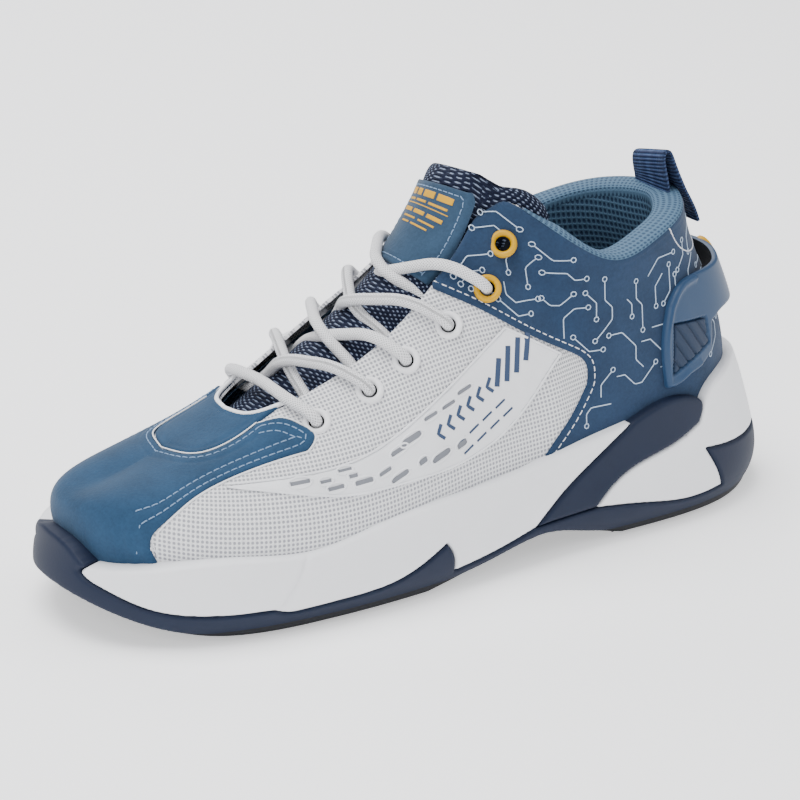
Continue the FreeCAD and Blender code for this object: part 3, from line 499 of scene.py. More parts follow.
def skin(name, surface, firsts, seconds, field_of, depth_of, low, material, turned=False,
         weld=False):
    """A sheet on a surface, cut to an outline, with rounded edges and a rim down to low."""
    a, b = grid_of(firsts, seconds)
    base = surface(a, b, 0.0)
    field = field_of(base, a, b)
    coords, faces = clip_cells(field)
    a2, b2, distance = at_nodes(a, coords), at_nodes(b, coords), at_nodes(field, coords)
    where = at_nodes(base, coords)
    depth = depth_of(distance, where)
    points = surface(a2, b2, depth)
    row = path_length(base[:, base.shape[1] // 2])
    column = np.cumsum(np.r_["1", np.zeros((len(a), 1)),
                             np.linalg.norm(np.diff(base, axis=1), axis=-1)], axis=1)
    uv = np.stack([np.interp(a2, firsts, row), at_nodes(column, coords)], 1)
    if weld:
        _, keep, number = np.unique(np.round(points, 2), axis=0, return_index=True,
                                    return_inverse=True)
        number = number.ravel()
        points, uv, a2, b2 = points[keep], uv[keep], a2[keep], b2[keep]
        faces = [[int(number[v]) for v in face] for face in faces]
        faces = [f for f in faces if len(set(f)) == len(f)]
    sides = [np.abs(a2 - firsts[0]) < 1e-6, np.abs(a2 - firsts[-1]) < 1e-6,
             np.abs(b2 - seconds[0]) < 1e-6, np.abs(b2 - seconds[-1]) < 1e-6]
    rim = [(p, q) for p, q in rim_edges(faces) if not any(s[p] and s[q] for s in sides)]
    used = sorted({v for edge in rim for v in edge})
    lower = {v: len(points) + k for k, v in enumerate(used)}
    floor = low(a2[used], b2[used]) if callable(low) else np.full(len(used), float(low))
    points = np.vstack([points, surface(a2[used], b2[used], floor)])
    uv = np.vstack([uv, uv[used]])
    faces += [[b_, a_, lower[a_], lower[b_]] for a_, b_ in rim]
    if turned:
        faces = [face[::-1] for face in faces]
    return mesh_object(name, points, faces, material, uv * MM)


def rounded(top, radius):
    """Depth profile: full height inside, rounded over to the edge."""
    def depth(distance, where):
        q = np.clip(1 - distance / radius, 0, 1)
        return top - radius * (1 - np.sqrt(np.maximum(1 - q * q, 0)))
    return depth


class Finder:
    """Finds the surface coordinates under points given in side view or plan."""

    def __init__(self, surface, firsts, seconds, axes):
        self.surface, self.axes = surface, list(axes)
        self.a, self.b = [g.ravel() for g in grid_of(firsts, seconds)]
        self.flat = surface(self.a, self.b, 0.0)[:, self.axes]
        self.low = np.array([firsts[0], seconds[0]])
        self.high = np.array([firsts[-1], seconds[-1]])

    def __call__(self, points):
        points = np.asarray(points, float)
        best = np.array([np.argmin(((self.flat - p) ** 2).sum(1)) for p in points])
        place = np.stack([self.a[best], self.b[best]], 1)
        for _ in range(4):
            here = self.surface(place[:, 0], place[:, 1], 0.0)[:, self.axes]
            h = 1e-3
            da = (self.surface(place[:, 0] + h, place[:, 1], 0.0)[:, self.axes] - here) / h
            db = (self.surface(place[:, 0], place[:, 1] + h, 0.0)[:, self.axes] - here) / h
            det = da[:, 0] * db[:, 1] - da[:, 1] * db[:, 0]
            det = np.where(np.abs(det) < 1e-6, 1e9, det)
            miss = points - here
            step = np.stack([(miss[:, 0] * db[:, 1] - miss[:, 1] * db[:, 0]) / det,
                             (da[:, 0] * miss[:, 1] - da[:, 1] * miss[:, 0]) / det], 1)
            place = np.clip(place + np.clip(step, -0.3, 0.3), self.low, self.high)
        return place


def sweep(points, ups, section):
    """Rings of a section (across, up) carried along points."""
    points = np.asarray(points, float)
    ahead = unit(np.gradient(points, axis=0))
    ups = unit(ups - (ups * ahead).sum(1)[:, None] * ahead)
    across = np.cross(ahead, ups)
    return (points[:, None] + across[:, None] * section[None, :, :1] +
            ups[:, None] * section[None, :, 1:])


class Batch:
    """Gathers small shapes into one mesh."""

    def __init__(self):
        self.points, self.faces, self.uv, self.count = [], [], [], 0

    def add(self, points, faces, uv=None):
        points = np.asarray(points, float).reshape(-1, 3)
        self.points.append(points)
        self.faces += [[v + self.count for v in face] for face in faces]
        self.uv.append(np.zeros((len(points), 2)) if uv is None else np.asarray(uv) * MM)
        self.count += len(points)

    def tube(self, points, ups, section):
        rings = sweep(points, ups, section)
        n, m = rings.shape[:2]
        faces = grid_faces(n, m, True) + end_faces(n, m)
        along = path_length(points)
        ring = path_length(np.vstack([section, section[:1]]))[:-1]
        uv = np.stack(grid_of(along, ring), -1).reshape(-1, 2)
        self.add(rings, faces, uv)

    def turned(self, centre, normal, u, profile, count):
        """Turned shape round a normal: u points outwards, profile holds (radius, lift)."""
        v = np.cross(normal, u)
        t = np.linspace(0, 2 * math.pi, count, endpoint=False)[:, None]
        rings = [centre + normal * lift + radius * (u * np.cos(t) + v * np.sin(t))
                 for radius, lift in profile]
        self.add(np.array(rings), grid_faces(len(rings), count, True))

    def build(self, name, material, ride="root"):
        return mesh_object(name, np.vstack(self.points), self.faces, material,
                           np.vstack(self.uv), ride)


def oval(half_width, half_height, count=8, power=1.0):
    t = np.linspace(0, 2 * math.pi, count, endpoint=False) + math.pi / count
    c, s = np.cos(t), np.sin(t)
    return np.stack([np.sign(c) * np.abs(c) ** power * half_width,
                     np.sign(s) * np.abs(s) ** power * half_height], 1)


def stitches(batch, points, normals, pitch=2.9, length=2.1, thick=0.5):
    """Rows of short threads lying along a path."""
    along = path_length(points)
    at = np.arange(pitch / 2, along[-1], pitch)
    centre = np.stack([np.interp(at, along, points[:, k]) for k in range(3)], 1)
    normal = unit(np.stack([np.interp(at, along, normals[:, k]) for k in range(3)], 1))
    ahead = unit(np.stack([np.interp(at + 0.4, along, points[:, k]) -
                           np.interp(at - 0.4, along, points[:, k]) for k in range(3)], 1))
    section = oval(thick / 2, thick / 2, 6)
    for c, n, d in zip(centre, normal, ahead):
        t = np.array([-0.5, -0.38, 0, 0.38, 0.5]) * length
        drop = np.array([-0.55, -0.05, 0.05, -0.05, -0.55]) * thick
        line = c + d * t[:, None] + n * drop[:, None]
        batch.tube(line, np.repeat(n[None], 5, 0), section)


# ---------------------------------------------------------------- materials
class Shader:
    """Small helper for building a node material."""

    def __init__(self, name, roughness=0.6, specular=0.4):
        self.material = bpy.data.materials.new(name)
        self.material.use_nodes = True
        self.tree = self.material.node_tree
        self.surface = self.tree.nodes["Principled BSDF"]
        self.surface.inputs["Roughness"].default_value = roughness
        self.surface.inputs["Specular IOR Level"].default_value = specular
        self.bump_out = None

    def node(self, kind, **values):
        node = self.tree.nodes.new("ShaderNode" + kind)
        for key, value in values.items():
            setattr(node, key, value)
        return node

    def link(self, a, b):
        self.tree.links.new(a, b)

    def noise(self, scale, detail=4.0, rough=0.6):
        node = self.node("TexNoise")
        node.inputs["Scale"].default_value = scale
        node.inputs["Detail"].default_value = detail
        node.inputs["Roughness"].default_value = rough
        self.link(self.node("TexCoord").outputs["Object"], node.inputs["Vector"])
        return node.outputs["Fac"]

    def math(self, operation, *values):
        node = self.node("Math", operation=operation)
        for socket, value in zip(node.inputs, values):
            if isinstance(value, (int, float)):
                socket.default_value = value
            else:
                self.link(value, socket)
        return node.outputs[0]

    def uv_axis(self, axis):
        split = self.node("SeparateXYZ")
        self.link(self.node("TexCoord").outputs["UV"], split.inputs[0])
        return split.outputs[axis]

    def ramp(self, factor, low, high, colors):
        node = self.node("ValToRGB")
        node.color_ramp.elements[0].position = low
        node.color_ramp.elements[1].position = high
        for element, color in zip(node.color_ramp.elements, colors):
            element.color = (*color, 1)
        self.link(factor, node.inputs[0])
        return node.outputs[0]

    def bump(self, height, strength, distance):
        node = self.node("Bump")
        node.inputs["Strength"].default_value = strength
        node.inputs["Distance"].default_value = distance * MM
        self.link(height, node.inputs["Height"])
        if self.bump_out is not None:
            self.link(self.bump_out, node.inputs["Normal"])
        self.bump_out = node.outputs[0]

    def done(self, color):
        if isinstance(color, tuple):
            self.surface.inputs["Base Color"].default_value = (*color, 1)
        else:
            self.link(color, self.surface.inputs["Base Color"])
        if self.bump_out is not None:
            self.link(self.bump_out, self.surface.inputs["Normal"])
        return self.material


def srgb(r, g, b):
    return tuple(((c / 255.0 + 0.055) / 1.055) ** 2.4 for c in (r, g, b))


def scaled(color, factor):
    return tuple(min(c * factor, 1.0) for c in color)


def waves(s, axis, period):
    """Sine along one axis of the UV map, which is laid out in metres."""
    return s.math("SINE", s.math("MULTIPLY", s.uv_axis(axis), 2 * math.pi / (period * MM)))


def suede(name, color, sheen=0.1):
    s = Shader(name, 0.85, 0.2)
    s.surface.inputs["Sheen Weight"].default_value = sheen
    s.surface.inputs["Sheen Roughness"].default_value = 0.5
    cloud = s.noise(55, 5, 0.65)
    fibre = s.noise(900, 3, 0.7)
    mix = s.math("ADD", s.math("MULTIPLY", cloud, 0.6), s.math("MULTIPLY", fibre, 0.4))
    s.bump(fibre, 0.35, 0.35)
    s.bump(s.noise(2600, 2, 0.7), 0.3, 0.12)
    return s.done(s.ramp(mix, 0.35, 0.65, [scaled(color, 0.78), scaled(color, 1.22)]))


def mesh_cloth(name, color, hole, period, gap=0.45, bump=0.5):
    """Open knit: rows of holes set half a step apart."""
    s = Shader(name, 0.75, 0.25)
    dots = s.math("MULTIPLY", waves(s, 0, period), waves(s, 1, period * 1.1))
    fine = s.math("MULTIPLY", waves(s, 0, period / 4.0), 0.12)
    height = s.math("SUBTRACT", fine, s.math("ABSOLUTE", dots))
    s.bump(height, bump, 0.5)
    shade = s.math("ADD", s.math("ABSOLUTE", dots), s.math("MULTIPLY", s.noise(400), 0.12))
    return s.done(s.ramp(shade, gap, gap + 0.3, [color, hole]))


def weave(name, color, fleck, period, amount=0.62, bump=0.8):
    """Thick basket weave with light flecks."""
    s = Shader(name, 0.8, 0.2)
    a = s.math("MULTIPLY", waves(s, 0, period), waves(s, 1, period))
    b = s.noise(700, 3, 0.7)
    s.bump(a, bump, 0.45)
    s.bump(b, 0.3, 0.3)
    mix = s.math("ADD", s.math("MULTIPLY", a, 0.5), s.math("MULTIPLY", b, 0.9))
    return s.done(s.ramp(mix, amount, amount + 0.3, [color, fleck]))


def moulded(name, color, roughness=0.5, grain=900, depth=0.08, vary=0.06):
    s = Shader(name, roughness, 0.3)
    cloud = s.noise(40, 4, 0.6)
    s.bump(s.noise(grain, 3, 0.6), 0.4, depth)
    return s.done(s.ramp(cloud, 0.3, 0.7, [scaled(color, 1 - vary), scaled(color, 1 + vary)]))


def ribbed(name, color, light, period):
    s = Shader(name, 0.7, 0.25)
    rib = waves(s, 0, period)
    yarn = s.math("MULTIPLY", waves(s, 1, 0.8), 0.4)
    total = s.math("ADD", rib, yarn)
    s.bump(total, 0.8, 0.35)
    mix = s.math("ADD", s.math("MULTIPLY", total, 0.35), s.noise(500, 3, 0.6))
    return s.done(s.ramp(mix, 0.3, 0.95, [color, light]))


def braid(name, color):
    s = Shader(name, 0.8, 0.25)
    u = s.math("MULTIPLY", s.uv_axis(0), 2 * math.pi / (2.2 * MM))
    v = s.math("MULTIPLY", s.uv_axis(1), 2 * math.pi / (14.45 / 6 * MM))
    one = s.math("ABSOLUTE", s.math("SINE", s.math("ADD", u, v)))
    two = s.math("ABSOLUTE", s.math("SINE", s.math("SUBTRACT", u, v)))
    height = s.math("MAXIMUM", one, two)
    s.bump(height, 0.9, 0.5)
    s.bump(s.noise(1500, 2, 0.6), 0.3, 0.15)
    # painted shade: the grooves between the strands are painted darker than the yarn's own white
    return s.done(s.ramp(height, 0.55, 1.0, [scaled(color, 0.62), color]))


NAVY = srgb(13, 25, 48)
M = {
    "suede": suede("suede_blue", srgb(33, 63, 91)),
    "panel": suede("suede_panel", srgb(34, 54, 80)),
    "mesh": mesh_cloth("mesh_white", srgb(238, 238, 240), srgb(158, 160, 166), 3.0, 0.45, 0.8),
    "film": moulded("film_white", srgb(232, 233, 236), 0.5),
    "white": moulded("foam_white", srgb(234, 235, 238), 0.5, 700, 0.1, 0.02),
    "gold": moulded("print_gold", srgb(200, 150, 30), 0.5, 2000, 0.03),
    "navy": moulded("rubber_navy", NAVY, 0.62, 800, 0.1, 0.06),
    "stripe": moulded("foam_navy", srgb(12, 25, 48), 0.6, 800, 0.08),
    "black": moulded("rubber_black", srgb(20, 22, 27), 0.6, 500, 0.2),
    # painted shade: near-black standing where only shade falls, in the eyelets' bores and behind
    # the heel clip
    "painted_shade": moulded("seam_shadow", srgb(14, 18, 28), 0.8, 500, 0.1),
    "lining": mesh_cloth("lining_mesh", srgb(80, 108, 132), srgb(40, 60, 84), 4.6, 0.42, 0.8),
    "lip": mesh_cloth("lip_mesh", srgb(80, 108, 132), srgb(46, 68, 92), 4.2, 0.5, 0.7),
    "tongue": weave("tongue_weave", srgb(15, 22, 44), srgb(128, 140, 164), 1.7, 0.6, 1.0),
    "label": suede("suede_label", srgb(44, 66, 88)),
    "lace": braid("lace_braid", srgb(240, 240, 242)),
    "ring_white": moulded("ring_white", srgb(234, 234, 236), 0.35, 1200, 0.04, 0.02),
    "ring_yellow": moulded("ring_yellow", srgb(196, 148, 0), 0.4, 1200, 0.04, 0.04),
    "clip": moulded("clip_blue", srgb(36, 62, 92), 0.42, 1400, 0.06, 0.05),
    "insert": moulded("clip_insert", srgb(16, 38, 64), 0.5, 1400, 0.06, 0.05),
    "webbing": ribbed("webbing_ribs", srgb(24, 38, 72), srgb(66, 88, 128), 1.3),
    "thread": moulded("thread_blue", srgb(120, 146, 178), 0.7, 3000, 0.1),
    "thread_white": moulded("thread_white", srgb(222, 224, 230), 0.7, 3000, 0.1),
    "print": moulded("print_white", srgb(176, 192, 212), 0.6, 2000, 0.02),
    "slot": moulded("slot_dark", srgb(120, 123, 130), 0.8, 1500, 0.1),
    "mark": moulded("mark_blue", srgb(52, 68, 96), 0.6, 1500, 0.04),
    "insole": mesh_cloth("insole_cloth", srgb(40, 58, 96), srgb(20, 28, 50), 3.2, 0.4),
}

# ---------------------------------------------------------------- upper panels
THROAT = outline(THROAT_SIDE, THROAT_FRONT, flip(THROAT_FRONT), flip(THROAT_SIDE))
CAP_RUNS = [[(-170, -31), (-132, -31)], TOE_CAP_SIDE, TOE_CAP_TIP, TOE_CAP_THROAT, VAMP_PANEL]
CAP = outline(*CAP_RUNS, *[flip(run) for run in reversed(CAP_RUNS)])
VAMP = outline([(-66, -17.37), (-77, -17.4)], [(x + 0.6, y * 0.965) for x, y in VAMP_PANEL],
               flip([(x + 0.6, y * 0.965) for x, y in VAMP_PANEL]), [(-77, 17.4), (-66, 17.37)])
PANEL = outline(PANEL_EDGE, PANEL_CORNER, PANEL_BACK, [(18, 28), (18, 10)],
                [(18, 10), (160, 10)], [(160, 10), (160, 160)], [(160, 160), (-7, 160)],
                [(-7, 160), (-7, 103.5)])
FILM = outline(FILM_TOP, FILM_BACK, FILM_TIP, FILM_FRONT)
SIDES = (("lateral", 0, 15), ("medial", 15, 30))
HEIGHTS = np.r_[np.linspace(-0.12, 0, 9)[:-1], np.linspace(0, 1, 86)]


def throat_field(points):
    return -plan_distance(points, THROAT)


def around_eyelets(points, seat=0.0):
    """Distance outside the eyelets' holes."""
    best = np.full(points.shape[:-1], 1e9)
    for station, height in EYELETS:
        for place in (station, LOOP - station):
            centre = upper(place, height, seat)
            best = np.minimum(best, np.linalg.norm(points - centre, axis=-1))
    return best - EYELET_HOLE


def mesh_field(points, a, b):
    return np.minimum(throat_field(points), around_eyelets(points))


def panel_field(points, a, b):
    outer = side_distance(points, PANEL)
    return np.minimum(np.minimum(outer, around_eyelets(points)),
                      np.minimum(throat_field(points), (1.0004 - b) * 80))


def film_field(points, a, b):
    return np.minimum(side_distance(points, FILM), -plan_distance(points, CAP) - 0.3)


def cap_field(points, a, b):
    return np.minimum(plan_distance(points, CAP), throat_field(points))


def vamp_field(points, a, b):
    return np.minimum(plan_distance(points, VAMP), throat_field(points))


def stitched(top, radius, rows, groove=0.28):
    edge = rounded(top, radius)

    def depth(distance, where):
        value = edge(distance, where)
        for row in rows:
            value = value - groove * np.exp(-((distance - row) / 0.7) ** 2)
        return value
    return depth


for side, first, last in SIDES:
    stations = even_stations(first, last)
    obj = skin("quarter_mesh_skin_" + side, upper, stations, HEIGHTS, mesh_field,
               rounded(0.05, 0.5), -1.4, M["mesh"])
    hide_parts("quarter_mesh_" + side)
    obj = skin("collar_panel_skin_" + side, upper, stations, HEIGHTS, panel_field,
               stitched(1.35, 0.7, [2.4]), -0.5, M["panel"])
    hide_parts("collar_panel_" + side)
    obj = skin("side_film_skin_" + side, upper, stations, HEIGHTS, film_field,
               rounded(0.75, 0.5), -0.2, M["film"])
    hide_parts("side_film_" + side)

front = even_stations(-7, 7)
cap_skin = skin("toe_cap_skin", upper, front, HEIGHTS, cap_field,
                stitched(1.4, 0.8, [2.0, 5.0]), -0.4, M["suede"], weld=True)
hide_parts("toe_cap")
vamp_skin = skin("vamp_panel_skin", upper, even_stations(-5, 5), HEIGHTS, vamp_field,
                 stitched(1.3, 0.7, [2.2]), -0.4, M["suede"], weld=True)
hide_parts("vamp_panel")

# ---------------------------------------------------------------- lining and padded collar
ZONE = outline([(34, 160), (34, 97)], [(34, 97), (46, 80), (62, 69), (90, 74), (118, 80),
                                       (150, 82)], [(150, 82), (150, 160)])


LINING_DEPTH, PADDING = 3.4, 7.0


def lining_depth(station, height):
    """Depth of the lining, which goes further in where the collar is padded."""
    places = upper(station, height, 0.0)
    share = smoothstep(side_distance(places, ZONE) / 14.0 + 0.5)
    rear = smoothstep((8.4 - np.abs(station - HEEL)) / 1.6)
    return -LINING_DEPTH - PADDING * share * rear


stations = even_stations(0, 30, 2.0)
a, b = grid_of(stations, np.linspace(0, 1, 56))
base = upper(a, b, -2.0)
coords, faces = clip_cells(np.minimum(throat_field(base), around_eyelets(base, -3.0)))
a2, b2 = at_nodes(a, coords), at_nodes(b, coords)
row = path_length(base[:, 20])
column = np.cumsum(np.hstack([np.zeros((len(a), 1)),
                              np.linalg.norm(np.diff(base, axis=1), axis=-1)]), axis=1)
uv = np.stack([np.interp(a2, stations, row), at_nodes(column, coords)], 1) * MM
lining = mesh_object("lining_skin", upper(a2, b2, lining_depth(a2, b2)),
                     [face[::-1] for face in faces], M["lining"], uv)
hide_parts("lining", "collar_lining")

# rolled lip of the collar, from the outer panel over the foam to the lining
lip_stations = even_stations(8.95, 21.05, 1.3)
turn = np.linspace(0, math.pi, 15)
profile_depth = -4.75 + 5.75 * np.cos(turn)
rise = 1.9 * np.sin(turn) ** 0.8
edge = upper(lip_stations, 1.0, 0.0)
normal = upper_normal(lip_stations, 1.0)
along = unit(np.gradient(edge, axis=0))
up = unit(np.cross(along, normal))
up = up * np.where(up[:, 2] < 0, -1, 1)[:, None]
taper = smoothstep(np.minimum(lip_stations - 8.9, 21.1 - lip_stations) / 0.6)
width = 0.35 + 0.65 * taper
points = np.array([[upper(s, 1.0, 1.4 - (1.4 - d) * w) + u * (r * w)
                    for d, r in zip(profile_depth, rise)]
                   for s, u, w in zip(lip_stations, up, width)])
inner = [upper(s, 0.97, -10.4 * w + 1.4 * (1 - w) - 0.1) for s, w in zip(lip_stations, width)]
points = np.concatenate([points, np.array(inner)[:, None]], axis=1)
n, m = points.shape[:2]
uv = np.stack(grid_of(path_length(edge), np.arange(m) * 1.3), -1)
lip = mesh_object("collar_lip", points.reshape(-1, 3),
                  grid_faces(n, m) + [list(range(m)), [(n - 1) * m + k for k in range(m)]],
                  M["lip"], uv.reshape(-1, 2) * MM)
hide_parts("collar_foam")

# ---------------------------------------------------------------- eyelets
def eyelet_rings(seat):
    """(radius, lift) of a rolled ring with its barrel, and of the bore in it, a cup painted
    near-black as shade.
    """
    ring = [(5.15, seat - 0.6), (5.1, seat + 0.35), (4.85, seat + 0.85), (4.4, seat + 1.15),
            (3.9, seat + 1.2), (3.4, seat + 1.0), (3.0, seat + 0.6), (2.75, seat),
            (2.7, -2.4), (3.3, -2.5)]
    return ring, [(2.68, seat + 0.1), (2.66, -2.0), (0.05, -2.1)]


for name, numbers, seat, color in (("eyelets_white", range(4), 0.05, "ring_white"),
                                   ("eyelets_yellow", (4, 5), 2.0, "ring_yellow")):
    ring, bore = eyelet_rings(seat)
    rings, bores = Batch(), Batch()
    for number in numbers:
        station, height = EYELETS[number]
        for place in (station, LOOP - station):
            centre, n = upper(place, height, 0.0), upper_normal(place, height)
            u = unit(np.cross(n, [0.3, 0.2, 1.0]))
            rings.turned(centre, n, u, ring, 36)
            bores.turned(centre, n, u, bore, 24)
    obj = rings.build(name + "_rings", M[color])
    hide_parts(name)
    # painted shade: the bores are near-black cups that close each ring's hole
    obj = bores.build(name + "_bores", M["painted_shade"])


# ---------------------------------------------------------------- tongue
def tongue_frame(r):
    """Row r of the tongue's table and the way ahead along its middle."""
    rows = spline(np.arange(7.0), TONGUE, r)
    ahead = spline(np.arange(7.0), TONGUE, r + 0.01)[..., :2] - spline(
        np.arange(7.0), TONGUE, r - 0.01)[..., :2]
    ahead = unit(ahead)
    return rows, ahead


def tongue(r, across, lift):
    """Point in row r, at a share of the half width and so far off the middle face."""
    rows, ahead = tongue_frame(r)
    rise = lift - rows[..., 3] * across ** 2
    return np.stack([rows[..., 0] - ahead[..., 1] * rise, rows[..., 2] * across,
                     rows[..., 1] + ahead[..., 0] * rise], -1)


r_axis = np.r_[np.linspace(-0.35, 5.6, 84), 6 - 0.4 * (1 - np.linspace(0.06, 1, 14) ** 0.5)]
r_axis = np.sort(r_axis)
section = oval(1.0, 1.0, 60, 0.62)
across, lift = section[:, 0], section[:, 1]
beside = grid_of(np.linspace(6.5, 10, 120), np.linspace(0.3, 1.15, 90))
flat_side, flat_normal = upper(*beside, 0.0).reshape(-1, 3), upper_normal(*beside).reshape(-1, 3)
side_tree = tree_of(flat_side)
TUCK_DEPTH = 3.4                 # how far under the upper's face the tongue's wing goes
LEAN = 2.2                       # the tongue's top is this much lower at its inner edge


def tuck(point):
    """Shift that brings a point of the tongue's wing inside the collar panel."""
    mirror = np.array([1.0, -1.0 if point[1] > 0 else 1.0, 1.0])
    _, k, _ = side_tree.find(point * mirror)
    depth = float(np.dot(point * mirror - flat_side[k], flat_normal[k]))
    return -flat_normal[k] * mirror * max(depth + TUCK_DEPTH, 0.0) * smoothstep(
        (abs(point[1]) - 15.0) / 4.5)


points = []
for r in r_axis:
    q = np.clip((r - 5.55) / 0.45, 0, 1)
    shrink = math.sqrt(max(1 - q ** 2.6, 0.0))
    wide = 1 - 0.3 * (1 - math.sqrt(max(1 - q ** 2.2, 0.0)))
    puff = 1.0 - 0.35 * math.exp(-((r - 5.32) / 0.07) ** 2)
    wing = np.where(across < 0, 1 + 0.82 * smoothstep((r - 4.3) / 1.2), 1.0) * wide * across
    row = tongue(np.full(60, r), wing, -3 + 3 * lift * shrink * puff)
    face = tongue(np.full(60, r), wing, np.zeros(60))
    if r > 4.2:
        row = row + np.array([tuck(p) for p in face])
    row[:, 2] -= LEAN * np.clip(wing, -1, 1) * smoothstep((r - 4.4) / 1.2)
    points.append(row)
points = np.array(points)
uv = np.stack(grid_of(path_length(points[:, 15]), np.arange(60) * 1.1), -1)
tongue_skin = mesh_object("tongue_skin", points.reshape(-1, 3),
                          grid_faces(len(r_axis), 60, True) +
                          [list(range(60)), [(len(r_axis) - 1) * 60 + k for k in range(60)]],
                          M["tongue"], uv.reshape(-1, 2) * MM, ride=None)
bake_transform(tongue_skin)
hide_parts("tongue_lower", "tongue_upper")

LABEL = outline([(3.55, -17), (3.55, 17)], [(3.55, 17), (4.4, 18.6), (5.36, 18.6)],
                [(5.36, 18.6), (5.47, 17.8), (5.5, 15.5)], [(5.5, 15.5), (5.5, -15.5)],
                [(5.5, -15.5), (5.47, -17.8), (5.36, -18.6)],
                [(5.36, -18.6), (4.4, -18.6), (3.55, -17)])
ROW_LENGTH = 16.5                # mm from one of the tongue's rows to the next, near the label
LABEL_MM = LABEL * [ROW_LENGTH, 1.0]


def label_surface(r, y, depth):
    rows, _ = tongue_frame(r)
    points = tongue(r, y / rows[..., 2], depth)
    points[..., 2] -= LEAN * y / rows[..., 2] * smoothstep((r - 4.4) / 1.2)
    return points


def label_field(points, a, b):
    return signed_distance(a * ROW_LENGTH, b, LABEL_MM)


label = skin("tongue_label_skin", label_surface, np.linspace(3.48, 5.58, 64),
             np.linspace(-19.5, 19.5, 60), label_field, stitched(1.4, 0.8, [2.3]), -0.5,
             M["label"])
label.parent = None
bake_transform(label)
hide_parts("tongue_label")


def on_label(line, lift):
    line = np.array(line, float)
    points = label_surface(line[:, 0], line[:, 1], lift)
    return points, unit(label_surface(line[:, 0], line[:, 1], lift + 1.0) - points)


batch = Batch()
for r, ranges, width in ((5.2, ((-13, -6), (-4.5, 2), (3.5, 7), (8.5, 13)), 2.6),
                         (5.0, ((-12, -3), (-1.5, 5), (6.5, 12)), 0.9),
                         (4.9, ((-13, 13),), 0.4),
                         (4.74, ((-12, -5), (-3.5, 3), (4.5, 12)), 1.5),
                         (4.58, ((-10, -2), (0, 9)), 0.7), (4.46, ((-8, 1), (2.5, 8)), 0.7)):
    for y0, y1 in ranges:
        line = [(r, y) for y in np.linspace(y0, y1, 8)]
        points, normals = on_label(line, 1.42)
        batch.tube(points, normals, oval(width / 2, 0.12, 8, 0.3))
bars = batch.build("label_bars", M["gold"], ride=None)
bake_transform(bars)
batch = Batch()
inner = LABEL * [1, 0.875]
inner[:, 0] = 4.52 + (inner[:, 0] - 4.52) * 0.86
inner = np.vstack([inner, inner[:1]]) * [ROW_LENGTH, 1]
points, normals = on_label(resample(inner, 1.2) / [ROW_LENGTH, 1], 1.25)
stitches(batch, points, normals, 2.6, 1.8, 0.45)
obj = batch.build("label_stitching", M["thread"], ride=None)
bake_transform(obj)

# ---------------------------------------------------------------- lace
LACE_RADIUS = 2.15


def lace_route():
    """The lace's points, from one end over the lowest bar to the other."""
    under, over, bar = -6.2, 3.8, 0.6       # heights off the upper's face
    crossings = [4.2, 4.85, 5.4, 6.05]      # stations where the two halves cross
    halves = []
    for side, lift in ((-1, -2.6), (1, 2.0)):
        station, height = EYELETS[0]
        route = [(3.83, 0.78, over, side), (station, height, over + 0.4, side),
                 (station, height, under, side)]
        for k, crossing in enumerate(crossings):
            station, height = EYELETS[k]
            route.append((station + (crossing - station) * 0.4,
                          height + (1 - height) * 0.4, under, side))
            route.append((crossing, 1.0, lift, side))
            side = -side
            station, height = EYELETS[k + 1]
            route.append((station + (crossing - station) * 0.4,
                          height + (1 - height) * 0.4, over, side))
            route.append((station, height, over + (0.4 if k < 3 else 2.0), side))
            route.append((station, height, under - (0 if k < 3 else 1), side))
        route += [(7.7, 0.42, -9.5, side), (8.2, 0.3, -10.5, side), (8.7, 0.2, -11.5, side)]
        halves.append([upper(s if k < 0 else LOOP - s, h, d) for s, h, d, k in route])
    return np.array(halves[0][::-1] + [upper(3.75, 1.0, bar)] + halves[1])


def rounded_path(points, spacing=0.8, limit=0.45):
    """A run with an arc at each corner, as points at even spacing."""
    out = [points[0]]
    for before, here, after in zip(points, points[1:], points[2:]):
        into, away = unit(here - before), unit(after - here)
        cosine = float(np.clip(into @ away, -1, 1))
        angle = math.acos(cosine)
        tangent = limit * min(np.linalg.norm(here - before), np.linalg.norm(after - here))
        if angle < 1e-3:
            out.append(here)
            continue
        radius = tangent / math.tan(angle / 2)
        start, centre_dir = here - into * tangent, unit(away - into)
        centre = here + centre_dir * radius / math.cos(angle / 2)
        x, y = unit(start - centre), into
        for t in np.linspace(0, angle, max(int(angle * radius / spacing), 3)):
            out.append(centre + radius * (x * math.cos(t) + y * math.sin(t)))
    out.append(points[-1])
    return resample(np.array(out), spacing)


path = rounded_path(lace_route())
ups = [np.array([0.0, 0.0, 1.0])]
for tangent in unit(np.gradient(path, axis=0)):
    ups.append(unit(ups[-1] - tangent * (ups[-1] @ tangent)))
batch = Batch()
batch.tube(path, np.array(ups[1:]), oval(LACE_RADIUS, LACE_RADIUS, 14))
lace = batch.build("lace_braided", M["lace"])
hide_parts("lace")

# ---------------------------------------------------------------- heel clip
SEAT, STAND_OFF = 1.5, 4.4
BADGE = (15.0, 0.565)            # station and height on the heel
CLIP = outline([(82.6, 54.2), (81.2, 64), (81.6, 75), (84.5, 84.5)],
               [(84.5, 84.5), (90, 90.5), (99, 92.8), (112, 93)], [(112, 93), (150, 93)],
               [(150, 93), (150, 77)], [(150, 77), (124, 75.5), (113, 75), (107.8, 73)],
               [(107.8, 73), (107.6, 68), (107, 62.5)],
               [(107, 62.5), (104, 60.2), (94, 57)], [(94, 57), (85, 54), (82.6, 54.2)])
INSERT_XZ = outline(*[[p, q] for p, q in zip(INSERT, INSERT[1:] + INSERT[:1])])


def clip_surface(place, height, extra):
    """The ribbon's face, which stands off the upper round the heel."""
    station = np.minimum(place, LOOP - place)
    tilt = 1.0 + 0.5 * (height - 0.56)
    return upper(place, height, SEAT + STAND_OFF * smoothstep((station - 12.35) / 1.5) * tilt +
                 extra)


def clip_field(points, a, b):
    return side_distance(points, CLIP)


